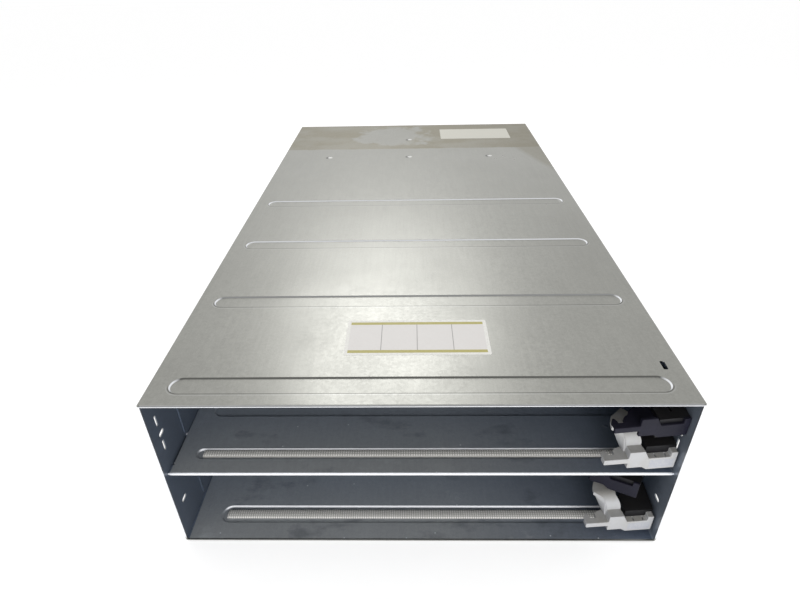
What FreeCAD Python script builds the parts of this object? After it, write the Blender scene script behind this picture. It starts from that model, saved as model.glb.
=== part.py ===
import FreeCAD, Part
import math
import os

# Four-unit storage controller enclosure with two open bays, in millimetres.
# The frame stands on +Z up, with the open front towards -Y and the origin at the
# middle of the face that it rests on. Distances called "from the front" are measured
# from the front edge towards +Y.

# Overall shell
body_width = 445.0
body_depth = 798.0
body_height = 174.2
tray_sheet = 1.2
cover_sheet = 1.0
shelf_sheet = 1.0
guide_sheet = 1.0
bulkhead_sheet = 1.2
bend_radius = 1.0
sheet_gap = 0.1
cover_flange_drop = 12.0
rear_cell_depth = 201.0

# Pressed beads
bead_depth = 1.3
bead_slope = 1.4
bead_count = 4
floor_bead_count = 6
bead_rear_space = 191.5
cover_bead_inset = 17.5
cover_bead_width = 20.0
cover_bead_first = 24.5
shelf_bead_inset = 17.8
shelf_seal_bead_width = 12.5
shelf_seal_bead_centre = 28.8
shelf_bead_width = 20.0
shelf_bead_first = 86.0
floor_bead_inset = 25.3
floor_bead_width = 19.7
floor_bead_first = 28.2

# Hemmed front edges
hem_depth = 8.0
cover_hem_gap = 0.6
shelf_hem_gap = 1.0
shelf_setback = 5.8
shelf_tab_length = 11.2
shelf_relief_radius = 1.5
shelf_flange_drop = 12.0

# Contact strips that lie in the front beads
seal_height = 3.0
seal_edge_radius = 1.2
shelf_seal_width = 8.0
shelf_seal_end_gap = 7.5
floor_seal_width = 9.5
floor_seal_end_gap = 6.5

# Holes near the front of the side walls
wall_hole_setback = 15.5
wall_slot_width = 3.0
wall_slot_length = 11.5
wall_slot_level = 26.0
wall_slot_spacing = 28.4
catch_hole_setback = 17.5
catch_hole_length = 9.0
catch_hole_width = 4.5
catch_hole_level = 38.6

# Small slot in the cover
cover_slot_inset = 14.5
cover_slot_setback = 47.5
cover_slot_width = 4.0
cover_slot_length = 11.0

# Side guides
left_guide_setback = 51.0
right_guide_setback = 80.0
guide_corner_radius = 6.0

# Bulkhead, board and what they carry
bulkhead_flange = 12.0
board_spacing = 4.0
board_sheet = 2.4
board_side_margin = 15.3
board_margin = 9.0
air_window_count = 4
air_window_gap = 14.0
air_window_rise = 6.0
air_window_drop = 13.85
window_corner_radius = 5.0
connector_spacing = 220.0
connector_length = 64.0
connector_height = 14.0
connector_reach = 14.0
connector_wall = 2.0
connector_clearance = 2.0
connector_level = 24.0
guide_pin_inset = 23.0
guide_pin_radius = 4.0
guide_pin_length = 34.0
guide_pin_tip = 9.0
guide_pin_level = 24.0
guide_pin_stem = 2.0
board_screw_inset = 23.0
board_screw_radius = 1.5
board_screw_head = 3.0
board_screw_drop = 12.85
board_screw_margin = 2.0
spacer_radius = 3.5

# Rear cells
divider_x = -13.0
divider_sheet = 1.2
rear_setback = 2.0
rear_flange = 12.0

# Rivets and screws
rivet_radius = 1.6
rivet_head_radius = 3.0
rivet_head_height = 0.8
hole_clearance = 0.05
dimple_radius = 4.0
cover_rivet_xs = [-142.0, -7.0, 128.0]
divider_rivet_inset = 97.0
cover_screw_inset = 60.0
cover_screw_count = 4
cover_screw_radius = 1.5
cover_screw_head = 2.8
shelf_rivet_first = 120.0
shelf_rivet_rear_inset = 42.0
shelf_rivet_count = 4

# Hinge of the swing arms
pivot_wall_gap = 3.7
pivot_setback = 48.0
pivot_pin_radius = 1.5
pivot_head_radius = 2.6
pivot_head_height = 1.2
pivot_clearance = 0.05
hub_radius = 3.3
ear_height = 3.6
ear_gap = 0.3
bracket_sheet = 3.0
bracket_length = 20.0
bracket_gap = 1.0
bracket_foot = 1.2
bracket_rivet_levels = [16.0, 52.0]

# Swing arms, in a frame with the hinge axis at its origin and the bar along X. Both
# fronts have one face, which the latch arm carries higher up. Levels are above the bay floor.
bar_angle = 6.9
bar_front = 40.2
hook_front_depth = 6.0
latch_front_depth = 2.4
latch_rise = 39.0
arm_end = -1.6
post_width = 5.5
bar_left = -26.2
block_left = -43.8
block_right = -30.6
lip_end = -64.8
lip_levels = (14.8, 20.3)
block_levels = (9.0, 27.5)
bar_levels = (5.8, 19.1)
post_level = 24.2
edge_round = 0.6
corner_round = 0.9

# Jaw at the end of each arm, a level plate with two fingers behind the lip
jaw_sheet = 3.0
jaw_root = 6.0
jaw_reach = 6.6
finger_width = 4.5
finger_gap = 5.8
finger_tip = 2.4
jaw_round = 1.1
web_reach = 20.0
web_step = 3.0

# Tower of the hook arm, which curves back over its block and runs out into a level hood
hook_top = 41.0
tower_ledge = 8.4
tower_sheet = 2.6
tower_bow = 1.6
tower_lean = 6.5
tower_run = 12.0
tower_shift = 3.0
tower_taper = 1.5
wing_spread = 11.0
wing_depth = 8.5
wing_slant = 3.5
wing_inset = 0.3
hood_reach = 33.0
hood_right = -33.5
slit_width = 1.2
slit_depth = 3.0
slit_insets = [6.5, 15.5]

# Carriers that hold the fronts on the hinge
hook_hub = (5.0, 27.0)
latch_hub = (42.5, 62.4)
carrier_sheet = 2.0
carrier_left = -27.0
carrier_gap = 0.1
carrier_slot_width = 1.6
carrier_slot_length = 6.0
carrier_slot_place = (-10.0, -28.0)

# How far each arm stands from closed, in degrees, swung into its bay
rest_swing = {
    "upper_hook": 1.5,
    "upper_latch": 0.0,
    "lower_hook": 2.5,
    "lower_latch": 32.0,
}

# Plates stuck on the cover. The front one is placed from the middle and the front edge,
# the rear one from the right and rear edges.
label_sheet = 0.15
front_label_size = (130.0, 53.0)
front_label_centre = (0.0, 89.5)
rear_label_size = (128.0, 62.0)
rear_label_centre = (108.0, 64.0)
label_corner_radius = 2.0

# Places worked out from the values above
front = -body_depth / 2
rear = body_depth / 2
wall_outer = body_width / 2 - cover_sheet
wall_inner = wall_outer - tray_sheet
guide_inner = wall_inner - guide_sheet
floor_under = bead_depth
floor_top = floor_under + tray_sheet
cover_under = body_height - cover_sheet
wall_top = cover_under - sheet_gap
bay_height = (cover_under - floor_top - shelf_sheet) / 2
shelf_under = floor_top + bay_height
shelf_level = shelf_under + shelf_sheet
bay_floors = {"lower": floor_top, "upper": shelf_level}
bulkhead_setback = body_depth - rear_cell_depth
bulkhead_front = front + bulkhead_setback
bulkhead_back = bulkhead_front + bulkhead_sheet
board_front = bulkhead_back + board_spacing
board_back = board_front + board_sheet
board_half = wall_inner - board_side_margin
bead_pitch = (bulkhead_setback - cover_bead_first - bead_rear_space) / (bead_count - 1)
cover_bead_length = body_width - 2 * cover_bead_inset
shelf_bead_length = 2 * (wall_inner - shelf_bead_inset)
floor_bead_length = 2 * (wall_inner - floor_bead_inset)
shelf_seal_length = shelf_bead_length - 2 * shelf_seal_end_gap
floor_seal_length = floor_bead_length - 2 * floor_seal_end_gap
board_screw_x = board_half - board_screw_inset
board_screw_level = bay_height - board_screw_drop
connector_top = connector_level + connector_height / 2
air_window_low = connector_top + air_window_rise
guide_pin_x = (connector_spacing + connector_length) / 2 + guide_pin_inset
air_window_high = bay_height - air_window_drop
air_span = 2 * (board_screw_x - board_screw_head - board_screw_margin)
air_window_length = (air_span - air_window_gap * (air_window_count - 1)) / air_window_count
air_window_pitch = air_window_length + air_window_gap
cover_screw_pitch = (body_depth - 2 * cover_screw_inset) / (cover_screw_count - 1)
shelf_rivet_last = bulkhead_setback - shelf_rivet_rear_inset
shelf_rivet_pitch = (shelf_rivet_last - shelf_rivet_first) / (shelf_rivet_count - 1)
pivot_x = wall_inner - pivot_wall_gap
pivot_y = front + pivot_setback

os.makedirs("parts", exist_ok=True)


def vec(x, y, z):
    return FreeCAD.Vector(x, y, z)


def block(x0, x1, y0, y1, z0, z1):
    return Part.makeBox(x1 - x0, y1 - y0, z1 - z0, vec(x0, y0, z0))


def rod(radius, start, end):
    along = end - start
    return Part.makeCylinder(radius, along.Length, start, along)


def prism(points, along):
    wire = Part.makePolygon(points + points[:1])
    return Part.Face(wire).extrude(along)


def edges_along(shape, axis):
    picked = []
    for edge in shape.Edges:
        if edge.Curve.TypeId != "Part::GeomLine":
            continue
        direction = edge.tangentAt(edge.FirstParameter)
        if abs(abs(direction.dot(axis)) - 1) < 1e-6:
            picked.append(edge)
    return picked


def edges_at(shape, axis, place):
    picked = []
    for edge in shape.Edges:
        ends = [vertex.Point.dot(axis) for vertex in edge.Vertexes]
        middle = edge.valueAt((edge.FirstParameter + edge.LastParameter) / 2).dot(axis)
        if max(abs(value - place) for value in ends + [middle]) < 1e-4:
            picked.append(edge)
    return picked


def mirrored(shape):
    return shape.mirror(vec(0, 0, 0), vec(1, 0, 0))


def fused(shapes):
    result = shapes[0]
    for shape in shapes[1:]:
        result = result.fuse(shape)
    return result.removeSplitter()


def stadium(x0, x1, y0, y1, z):
    """Closed outline with straight long sides along X and half-round ends."""
    radius = (y1 - y0) / 2
    middle = (y0 + y1) / 2
    left_end = vec(x0, middle, z)
    right_end = vec(x1, middle, z)
    edges = [
        Part.LineSegment(vec(x0 + radius, y0, z), vec(x1 - radius, y0, z)).toShape(),
        Part.Arc(vec(x1 - radius, y0, z), right_end, vec(x1 - radius, y1, z)).toShape(),
        Part.LineSegment(vec(x1 - radius, y1, z), vec(x0 + radius, y1, z)).toShape(),
        Part.Arc(vec(x0 + radius, y1, z), left_end, vec(x0 + radius, y0, z)).toShape(),
    ]
    return Part.Wire(edges)


def bead_form(length, width, centre_y, top, growth):
    """Tapered stadium that a bead takes out of a sheet, or its underside when grown."""
    half = length / 2 + growth
    side = width / 2 + growth
    upper = stadium(-half, half, centre_y - side, centre_y + side, top)
    half -= bead_slope
    side -= bead_slope
    lower = stadium(-half, half, centre_y - side, centre_y + side, top - bead_depth)
    return Part.makeLoft([upper, lower], True, True)


def press_bead(sheet_shape, length, width, centre_y, top, sheet):
    """Press one bead downwards into a level sheet whose upper face is at top."""
    skin = sheet * math.tan(math.radians(22.5))
    boss = bead_form(length, width, centre_y, top - sheet, skin)
    pocket = bead_form(length, width, centre_y, top, 0.0)
    return sheet_shape.fuse(boss).cut(pocket)


def flat_slot(x, y, length_x, length_y, z0, z1):
    """Cutter for a rectangular slot with rounded corners, through a level sheet."""
    cutter = block(x - length_x / 2, x + length_x / 2, y - length_y / 2, y + length_y / 2, z0, z1)
    return cutter.makeFillet(min(length_x, length_y) * 0.3, edges_along(cutter, vec(0, 0, 1)))


def wall_slot(y, z, length_y, length_z):
    """Cutter for a round-ended slot through the right-hand wall."""
    cutter = block(guide_inner, wall_outer + cover_sheet, y - length_y / 2, y + length_y / 2,
                   z - length_z / 2, z + length_z / 2)
    radius = min(length_y, length_z) * 0.499
    return cutter.makeFillet(radius, edges_along(cutter, vec(1, 0, 0)))


def hem(x0, x1, edge_y, top, sheet, gap):
    """Front edge of a sheet folded back under itself, as a closed profile along X."""
    radius = sheet + gap / 2
    middle = top - radius
    outer = [
        vec(x0, edge_y + radius, top),
        vec(x0, edge_y, middle),
        vec(x0, edge_y + radius, top - 2 * radius),
    ]
    inner_radius = gap / 2
    inner = [
        vec(x0, edge_y + radius, middle - inner_radius),
        vec(x0, edge_y + radius - inner_radius, middle),
        vec(x0, edge_y + radius, middle + inner_radius),
    ]
    back = edge_y + hem_depth
    lower_back = vec(x0, back, top - 2 * radius)
    upper_back = vec(x0, back, top)
    edges = [
        Part.LineSegment(upper_back, outer[0]).toShape(),
        Part.Arc(*outer).toShape(),
        Part.LineSegment(outer[2], lower_back).toShape(),
        Part.LineSegment(lower_back, vec(x0, back, middle - inner_radius)).toShape(),
        Part.LineSegment(vec(x0, back, middle - inner_radius), inner[0]).toShape(),
        Part.Arc(*inner).toShape(),
        Part.LineSegment(inner[2], vec(x0, back, middle + inner_radius)).toShape(),
        Part.LineSegment(vec(x0, back, middle + inner_radius), upper_back).toShape(),
    ]
    return Part.Face(Part.Wire(edges)).extrude(vec(x1 - x0, 0, 0))


def cover_screw_places():
    z = body_height - cover_flange_drop / 2
    return [(front + cover_screw_inset + cover_screw_pitch * i, z) for i in range(cover_screw_count)]


def shelf_rivet_places():
    z = shelf_level - shelf_flange_drop / 2
    return [(front + shelf_rivet_first + shelf_rivet_pitch * i, z) for i in range(shelf_rivet_count)]


def bracket_rivet_places():
    y = pivot_y + hub_radius + bracket_gap + bracket_length / 2
    return [(y, level + rise) for level in bay_floors.values() for rise in bracket_rivet_levels]


def wall_holes():
    """Cutters for every hole in the right-hand wall, the left one being its mirror image."""
    y = front + wall_hole_setback
    cutters = []
    for rise in (wall_slot_level, wall_slot_level + wall_slot_spacing):
        cutters.append(wall_slot(y, shelf_level + rise, wall_slot_width, wall_slot_length))
    for level in bay_floors.values():
        cutters.append(wall_slot(front + catch_hole_setback, level + catch_hole_level,
                                 catch_hole_length, catch_hole_width))
    for place in cover_screw_places():
        cutters.append(side_hole(place, cover_screw_radius))
    for place in shelf_rivet_places():
        cutters.append(side_hole(place, rivet_radius))
    return cutters


def side_hole(place, radius):
    """Cutter for a round hole through the right-hand wall and all that is fixed to it."""
    y, z = place
    inside = wall_inner - bracket_sheet - 1
    return rod(radius + hole_clearance, vec(inside, y, z), vec(wall_outer + cover_sheet, y, z))


def make_base_tray():
    tray = block(-wall_outer, wall_outer, front, rear, floor_under, wall_top)
    inside = block(-wall_inner, wall_inner, front - 1, rear + 1, floor_top, wall_top + 1)
    along = vec(0, 1, 0)
    outer_edges = [e for e in edges_along(tray, along) if e.Vertexes[0].Z < floor_top]
    inner_edges = [e for e in edges_along(inside, along) if e.Vertexes[0].Z < floor_top + 1e-3]
    tray = tray.makeFillet(bend_radius + tray_sheet, outer_edges)
    inside = inside.makeFillet(bend_radius, inner_edges)
    tray = tray.cut(inside)
    for i in range(floor_bead_count):
        centre = front + floor_bead_first + bead_pitch * i
        tray = press_bead(tray, floor_bead_length, floor_bead_width, centre, floor_top, tray_sheet)
    right_holes = wall_holes()
    bracket_holes = [side_hole(place, rivet_radius) for place in bracket_rivet_places()]
    left_holes = [mirrored(cutter) for cutter in right_holes]
    return tray.cut(right_holes + left_holes + bracket_holes)


def make_top_cover():
    half = body_width / 2
    nose = cover_sheet + cover_hem_gap / 2
    shell = block(-half, half, front + nose, rear, body_height - cover_flange_drop, body_height)
    inside = block(-wall_outer, wall_outer, front - 1, rear + 1, -1, cover_under)
    along = vec(0, 1, 0)
    outer_edges = [e for e in edges_along(shell, along) if e.Vertexes[0].Z > cover_under]
    shell = shell.makeFillet(cover_sheet, outer_edges)
    shell = shell.cut(inside)
    shell = shell.fuse(hem(-wall_inner, wall_inner, front, body_height, cover_sheet, cover_hem_gap))
    for i in range(bead_count):
        centre = front + cover_bead_first + bead_pitch * i
        shell = press_bead(shell, cover_bead_length, cover_bead_width, centre, body_height, cover_sheet)
    slot_x = wall_outer - cover_slot_inset
    cutters = [flat_slot(slot_x, front + cover_slot_setback, cover_slot_width, cover_slot_length,
                         cover_under - 1, body_height + 1)]
    for x, y in cover_rivet_places():
        cutters.append(rivet_dimple(x, y))
    for place in cover_screw_places():
        hole = screw_countersink(place)
        cutters.append(hole)
        cutters.append(mirrored(hole))
    return fused([shell.cut(cutters)])


def screw_countersink(place):
    """Countersunk hole in the cover's right-hand flange."""
    y, z = place
    return Part.makeCone(cover_screw_radius + hole_clearance, cover_screw_head + hole_clearance, cover_sheet,
                         vec(wall_outer, y, z), vec(1, 0, 0))


def cover_rivet_places():
    bulkhead_line = bulkhead_front + bulkhead_flange / 2
    places = [(x, bulkhead_line) for x in cover_rivet_xs]
    places.append((divider_x + rear_flange / 2, rear - divider_rivet_inset))
    return places


def rivet_dimple(x, y):
    """Countersunk hole in the cover for one flush rivet."""
    cone = Part.makeCone(rivet_radius + hole_clearance, dimple_radius, cover_sheet,
                         vec(x, y, cover_under), vec(0, 0, 1))
    shank = rod(rivet_radius + hole_clearance, vec(x, y, cover_under - 2), vec(x, y, body_height))
    return cone.fuse(shank)


def flush_rivet(x, y, flange_sheet):
    """Rivet with a countersunk head in the cover and a low dome under the flange below it."""
    head = Part.makeCone(rivet_radius, dimple_radius - 4 * hole_clearance, cover_sheet - hole_clearance,
                         vec(x, y, cover_under), vec(0, 0, 1))
    tail = cover_under - flange_sheet
    shank = rod(rivet_radius, vec(x, y, tail), vec(x, y, body_height - hole_clearance))
    closing = rod(rivet_head_radius, vec(x, y, tail - rivet_head_height), vec(x, y, tail))
    return fused([head, shank, closing])


def make_cover_rivets():
    rivets = [flush_rivet(x, y, bulkhead_sheet) for x, y in cover_rivet_places()]
    return Part.makeCompound(rivets)


def side_rivet(place, inside):
    """Rivet through the right-hand wall, with a low head at each end."""
    y, z = place
    seat = vec(wall_outer, y, z)
    outer_head = Part.makeCone(rivet_head_radius, rivet_radius, rivet_head_height, seat, vec(1, 0, 0))
    shank = rod(rivet_radius, vec(inside, y, z), vec(wall_outer, y, z))
    inner_head = rod(rivet_head_radius, vec(inside - rivet_head_height, y, z), vec(inside, y, z))
    return fused([outer_head, shank, inner_head])


def make_shelf_rivets():
    inside = guide_inner - sheet_gap - shelf_sheet
    rivets = [side_rivet(place, inside) for place in shelf_rivet_places()]
    return Part.makeCompound(rivets + [mirrored(rivet) for rivet in rivets])


def make_hinge_rivets():
    inside = wall_inner - bracket_sheet
    return Part.makeCompound([side_rivet(place, inside) for place in bracket_rivet_places()])


def cover_screw(place):
    """Countersunk screw through the cover flange and the wall."""
    y, z = place
    shank = rod(cover_screw_radius, vec(wall_inner, y, z), vec(wall_outer, y, z))
    seat = vec(wall_outer, y, z)
    head = Part.makeCone(cover_screw_radius, cover_screw_head, cover_sheet, seat, vec(1, 0, 0))
    return fused([shank, head])


def make_cover_screws():
    screws = [cover_screw(place) for place in cover_screw_places()]
    return Part.makeCompound(screws + [mirrored(screw) for screw in screws])


def make_mid_shelf():
    half = guide_inner - sheet_gap
    edge = front + shelf_setback
    nose = shelf_sheet + shelf_hem_gap / 2
    back = bulkhead_front - sheet_gap
    tab_back = edge + shelf_tab_length
    level = block(-half, half, edge + nose, back, shelf_level - shelf_flange_drop, shelf_level)
    inside = block(-half + shelf_sheet, half - shelf_sheet, edge - 1, back + 1, -1, shelf_under)
    upper = [e for e in edges_along(level, vec(0, 1, 0)) if e.Vertexes[0].Z > shelf_under]
    shelf = level.makeFillet(shelf_sheet, upper).cut(inside)
    flange_front = block(-body_width, body_width, edge - 1, tab_back, 0, shelf_under)
    shelf = shelf.cut(flange_front)
    reach = wall_inner - sheet_gap
    tab = block(-reach, reach, edge + nose, tab_back, shelf_under, shelf_level)
    lip = hem(-reach, reach, edge, shelf_level, shelf_sheet, shelf_hem_gap)
    shelf = fused([shelf, tab, lip])
    for i in range(bead_count):
        centre = front + shelf_bead_first + bead_pitch * i
        shelf = press_bead(shelf, shelf_bead_length, shelf_bead_width, centre, shelf_level, shelf_sheet)
    shelf = press_bead(shelf, shelf_bead_length, shelf_seal_bead_width, front + shelf_seal_bead_centre,
                       shelf_level, shelf_sheet)
    cutters = []
    for side in (-1, 1):
        relief = vec(side * half, tab_back, shelf_under - 1)
        cutters.append(rod(shelf_relief_radius, relief, relief + vec(0, 0, shelf_sheet + 2)))
    for place in shelf_rivet_places():
        hole = side_hole(place, rivet_radius)
        cutters.append(hole)
        cutters.append(mirrored(hole))
    return fused([shelf.cut(cutters)])


def make_seal_strip(length, width, centre_y, face):
    """Contact strip with rounded upper edges, lying on the bottom of its bead."""
    under = face - bead_depth
    near = centre_y - width / 2
    strip = block(-length / 2, length / 2, near, near + width, under, under + seal_height)
    upper = [e for e in edges_along(strip, vec(1, 0, 0)) if e.Vertexes[0].Z > face]
    return strip.makeFillet(seal_edge_radius, upper)


def make_right_guide(z0, z1, setback, with_rivet_holes):
    plate = block(guide_inner, wall_inner, front + setback, bulkhead_front - sheet_gap, z0, z1)
    corners = [e for e in edges_along(plate, vec(1, 0, 0)) if e.Vertexes[0].Y < front + setback + 1]
    plate = plate.makeFillet(guide_corner_radius, corners)
    if with_rivet_holes:
        plate = plate.cut([side_hole(place, rivet_radius) for place in shelf_rivet_places()])
    return plate


def window(x, z, length, height):
    """Cutter for a rounded window through the bulkhead."""
    cutter = block(x - length / 2, x + length / 2, bulkhead_front - 1, board_back + 1,
                   z - height / 2, z + height / 2)
    radius = min(window_corner_radius, height * 0.3)
    return cutter.makeFillet(radius, edges_along(cutter, vec(0, 1, 0)))


def air_windows():
    """Openings for cooling air, above the connectors of each bay."""
    cutters = []
    height = air_window_high - air_window_low
    for level in bay_floors.values():
        middle = level + (air_window_low + air_window_high) / 2
        for i in range(air_window_count):
            x = (i - (air_window_count - 1) / 2) * air_window_pitch
            cutters.append(window(x, middle, air_window_length, height))
    return cutters


def connector_places():
    places = []
    for level in bay_floors.values():
        for side in (-0.5, 0.5):
            places.append((side * connector_spacing, level + connector_level))
    return places


def guide_pin_places(level):
    """One pin beyond the outer end of each connector."""
    return [(side * guide_pin_x, level + guide_pin_level) for side in (-1, 1)]


def board_screw_places():
    places = []
    for level in bay_floors.values():
        for i in (-1, 0, 1):
            places.append((i * board_screw_x, level + board_screw_level))
    return places


def through_plate(radius, x, z, y0, y1):
    """Cutter for a round hole along Y through a plate that lies between y0 and y1."""
    return rod(radius + hole_clearance, vec(x, y0 - 1, z), vec(x, y1 + 1, z))


def make_bulkhead():
    top = cover_under
    half = guide_inner - sheet_gap
    flange_back = bulkhead_front + bulkhead_flange
    plate = block(-half, half, bulkhead_front, bulkhead_back, floor_top, top)
    upper = block(-half, half, bulkhead_front, flange_back, top - bulkhead_sheet, top)
    lower = block(-half, half, bulkhead_front, flange_back, floor_top, floor_top + bulkhead_sheet)
    frame = fused([plate, upper, lower])
    cutters = air_windows()
    for x, z in connector_places():
        cutters.append(window(x, z, connector_length + 2 * connector_clearance,
                              connector_height + 2 * connector_clearance))
    for level in bay_floors.values():
        for x, z in guide_pin_places(level):
            cutters.append(through_plate(guide_pin_stem, x, z, bulkhead_front, bulkhead_back))
    for x, z in board_screw_places():
        cutters.append(through_plate(board_screw_radius, x, z, bulkhead_front, bulkhead_back))
    for x, y in cover_rivet_places()[:len(cover_rivet_xs)]:
        start = vec(x, y, top - 2 * bulkhead_sheet)
        cutters.append(rod(rivet_radius + hole_clearance, start, vec(x, y, top + 1)))
    return frame.cut(cutters)


def make_midplane_board():
    low = floor_top + board_margin
    high = cover_under - board_margin
    board = block(-board_half, board_half, board_front, board_back, low, high)
    board = board.makeFillet(window_corner_radius, edges_along(board, vec(0, 1, 0)))
    cutters = air_windows()
    for x, z in board_screw_places():
        cutters.append(through_plate(board_screw_radius, x, z, board_front, board_back))
    return board.cut(cutters)


def board_connector(x, z, face, reach):
    """Socket housing that stands on one face of the board and opens away from it."""
    y0, y1 = sorted((face, face + reach))
    half_length = connector_length / 2
    half_height = connector_height / 2
    body = block(x - half_length, x + half_length, y0, y1, z - half_height, z + half_height)
    mouth = face + reach
    depth0, depth1 = sorted((mouth, mouth - reach * 0.6))
    cavity = block(x - half_length + connector_wall, x + half_length - connector_wall, depth0, depth1,
                   z - half_height + connector_wall, z + half_height - connector_wall)
    tongue = block(x - half_length + 3 * connector_wall, x + half_length - 3 * connector_wall, depth0, depth1,
                   z - connector_wall / 2, z + connector_wall / 2)
    return fused([body.cut(cavity), tongue])


def make_connectors(places, face, reach):
    return Part.makeCompound([board_connector(x, z, face, reach) for x, z in places])


def guide_pin(x, z):
    """Tapered locating pin riveted through the bulkhead."""
    start = vec(x, bulkhead_front, z)
    shoulder = start - vec(0, guide_pin_length - guide_pin_tip, 0)
    body = rod(guide_pin_radius, shoulder, start)
    tip = Part.makeCone(guide_pin_radius, guide_pin_radius * 0.4, guide_pin_tip, shoulder, vec(0, -1, 0))
    far_side = start + vec(0, bulkhead_sheet, 0)
    stem = rod(guide_pin_stem, start, far_side)
    tail = rod(guide_pin_radius * 0.8, far_side, far_side + vec(0, 1, 0))
    return fused([body, tip, stem, tail])


def make_guide_pins(level):
    return Part.makeCompound([guide_pin(x, z) for x, z in guide_pin_places(level)])


def board_spacer(x, z):
    near_end = vec(x, bulkhead_back, z)
    far_end = vec(x, board_front, z)
    tube = rod(spacer_radius, near_end, far_end)
    return tube.cut(rod(board_screw_radius + hole_clearance, near_end, far_end))


def make_board_spacers():
    return Part.makeCompound([board_spacer(x, z) for x, z in board_screw_places()])


def board_screw(x, z):
    head = rod(board_screw_head, vec(x, bulkhead_front - board_screw_radius, z), vec(x, bulkhead_front, z))
    shank = rod(board_screw_radius, vec(x, bulkhead_front, z), vec(x, board_back, z))
    nut = rod(board_screw_head, vec(x, board_back, z), vec(x, board_back + board_screw_radius, z))
    return fused([head, shank, nut])


def make_board_screws():
    return Part.makeCompound([board_screw(x, z) for x, z in board_screw_places()])


def rear_start():
    return bulkhead_front + bulkhead_flange + sheet_gap


def make_rear_divider():
    y0 = rear_start()
    y1 = rear - rear_setback
    wall = block(divider_x, divider_x + divider_sheet, y0, y1, floor_top, cover_under)
    upper = block(divider_x, divider_x + rear_flange, y0, y1, cover_under - divider_sheet, cover_under)
    lower = block(divider_x, divider_x + rear_flange, y0, y1, floor_top, floor_top + divider_sheet)
    x, y = cover_rivet_places()[-1]
    hole_foot = vec(x, y, cover_under - 2 * divider_sheet)
    hole = rod(rivet_radius + hole_clearance, hole_foot, vec(x, y, cover_under + 1))
    return fused([wall, upper, lower]).cut(hole)


def make_rear_shelf(x0, x1):
    """Level sheet of one pair of rear cells, with a flange turned down at each side."""
    y0 = rear_start()
    y1 = rear - rear_setback
    body = block(x0, x1, y0, y1, shelf_level - shelf_flange_drop, shelf_level)
    upper = [e for e in edges_along(body, vec(0, 1, 0)) if e.Vertexes[0].Z > shelf_under]
    inside = block(x0 + shelf_sheet, x1 - shelf_sheet, y0 - 1, y1 + 1, -1, shelf_under)
    return body.makeFillet(shelf_sheet, upper).cut(inside)


def ear_levels():
    """Heights of the bracket's ears, one below, two between and one above the arms' hubs."""
    ears = []
    for low, high in (hook_hub, latch_hub):
        ears.append((low - ear_gap - ear_height, low - ear_gap))
        ears.append((high + ear_gap, high + ear_gap + ear_height))
    return ears


def make_hinge_bracket(level):
    leaf_front = pivot_y + hub_radius + bracket_gap
    leaf_top = level + ear_levels()[-1][1]
    leaf = block(wall_inner - bracket_sheet, wall_inner, leaf_front, leaf_front + bracket_length,
                 level + bracket_foot, leaf_top)
    back = [e for e in edges_along(leaf, vec(1, 0, 0)) if e.Vertexes[0].Y > leaf_front + 1]
    pieces = [leaf.makeFillet(guide_corner_radius, back)]
    for low, high in ear_levels():
        z0 = level + low
        z1 = level + high
        pieces.append(rod(hub_radius, vec(pivot_x, pivot_y, z0), vec(pivot_x, pivot_y, z1)))
        pieces.append(block(pivot_x - hub_radius, wall_inner, pivot_y, leaf_front + 1, z0, z1))
    bracket = fused(pieces)
    bore_start = vec(pivot_x, pivot_y, level - 1)
    bore = rod(pivot_pin_radius + hole_clearance / 2, bore_start, vec(pivot_x, pivot_y, leaf_top + 1))
    holes = [side_hole(place, rivet_radius) for place in bracket_rivet_places()]
    return bracket.cut([bore] + holes)


def make_pivot_pin(level):
    low = level + ear_levels()[0][0]
    high = level + ear_levels()[-1][1]
    shaft = rod(pivot_pin_radius, vec(pivot_x, pivot_y, low), vec(pivot_x, pivot_y, high))
    head = Part.makeCone(pivot_head_radius, pivot_pin_radius, pivot_head_height, vec(pivot_x, pivot_y, high))
    return fused([shaft, head])


def wall_side(across, along):
    """Point of the closed arm given square to the wall, turned into the bar's frame."""
    turn = math.radians(bar_angle)
    x = across * math.cos(turn) + along * math.sin(turn)
    y = -across * math.sin(turn) + along * math.cos(turn)
    return x, y


def arm_face(rise):
    """Outline of an arm's front, from the lip over the block and bar to the end post."""
    slant = bar_left - block_right
    outline = [
        (lip_end, lip_levels[0]),
        (block_left, lip_levels[0]),
        (block_left, block_levels[0]),
        (block_right, block_levels[0]),
        (bar_left, bar_levels[0]),
        (arm_end, bar_levels[0]),
        (arm_end, post_level),
        (arm_end - post_width, post_level),
        (arm_end - post_width, bar_levels[1]),
        (block_right + slant, bar_levels[1]),
        (block_right, block_levels[1]),
        (block_left, block_levels[1]),
        (block_left, lip_levels[1]),
        (lip_end, lip_levels[1]),
    ]
    return [vec(x, -bar_front, z + rise) for x, z in outline]


def make_face(depth, rise):
    """Moulded face of an arm, with every corner and its front edge rounded."""
    face = prism(arm_face(rise), vec(0, depth, 0))
    face = face.makeFillet(corner_round, edges_along(face, vec(0, 1, 0)))
    return face.makeFillet(edge_round, edges_at(face, vec(0, 1, 0), -bar_front))


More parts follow.
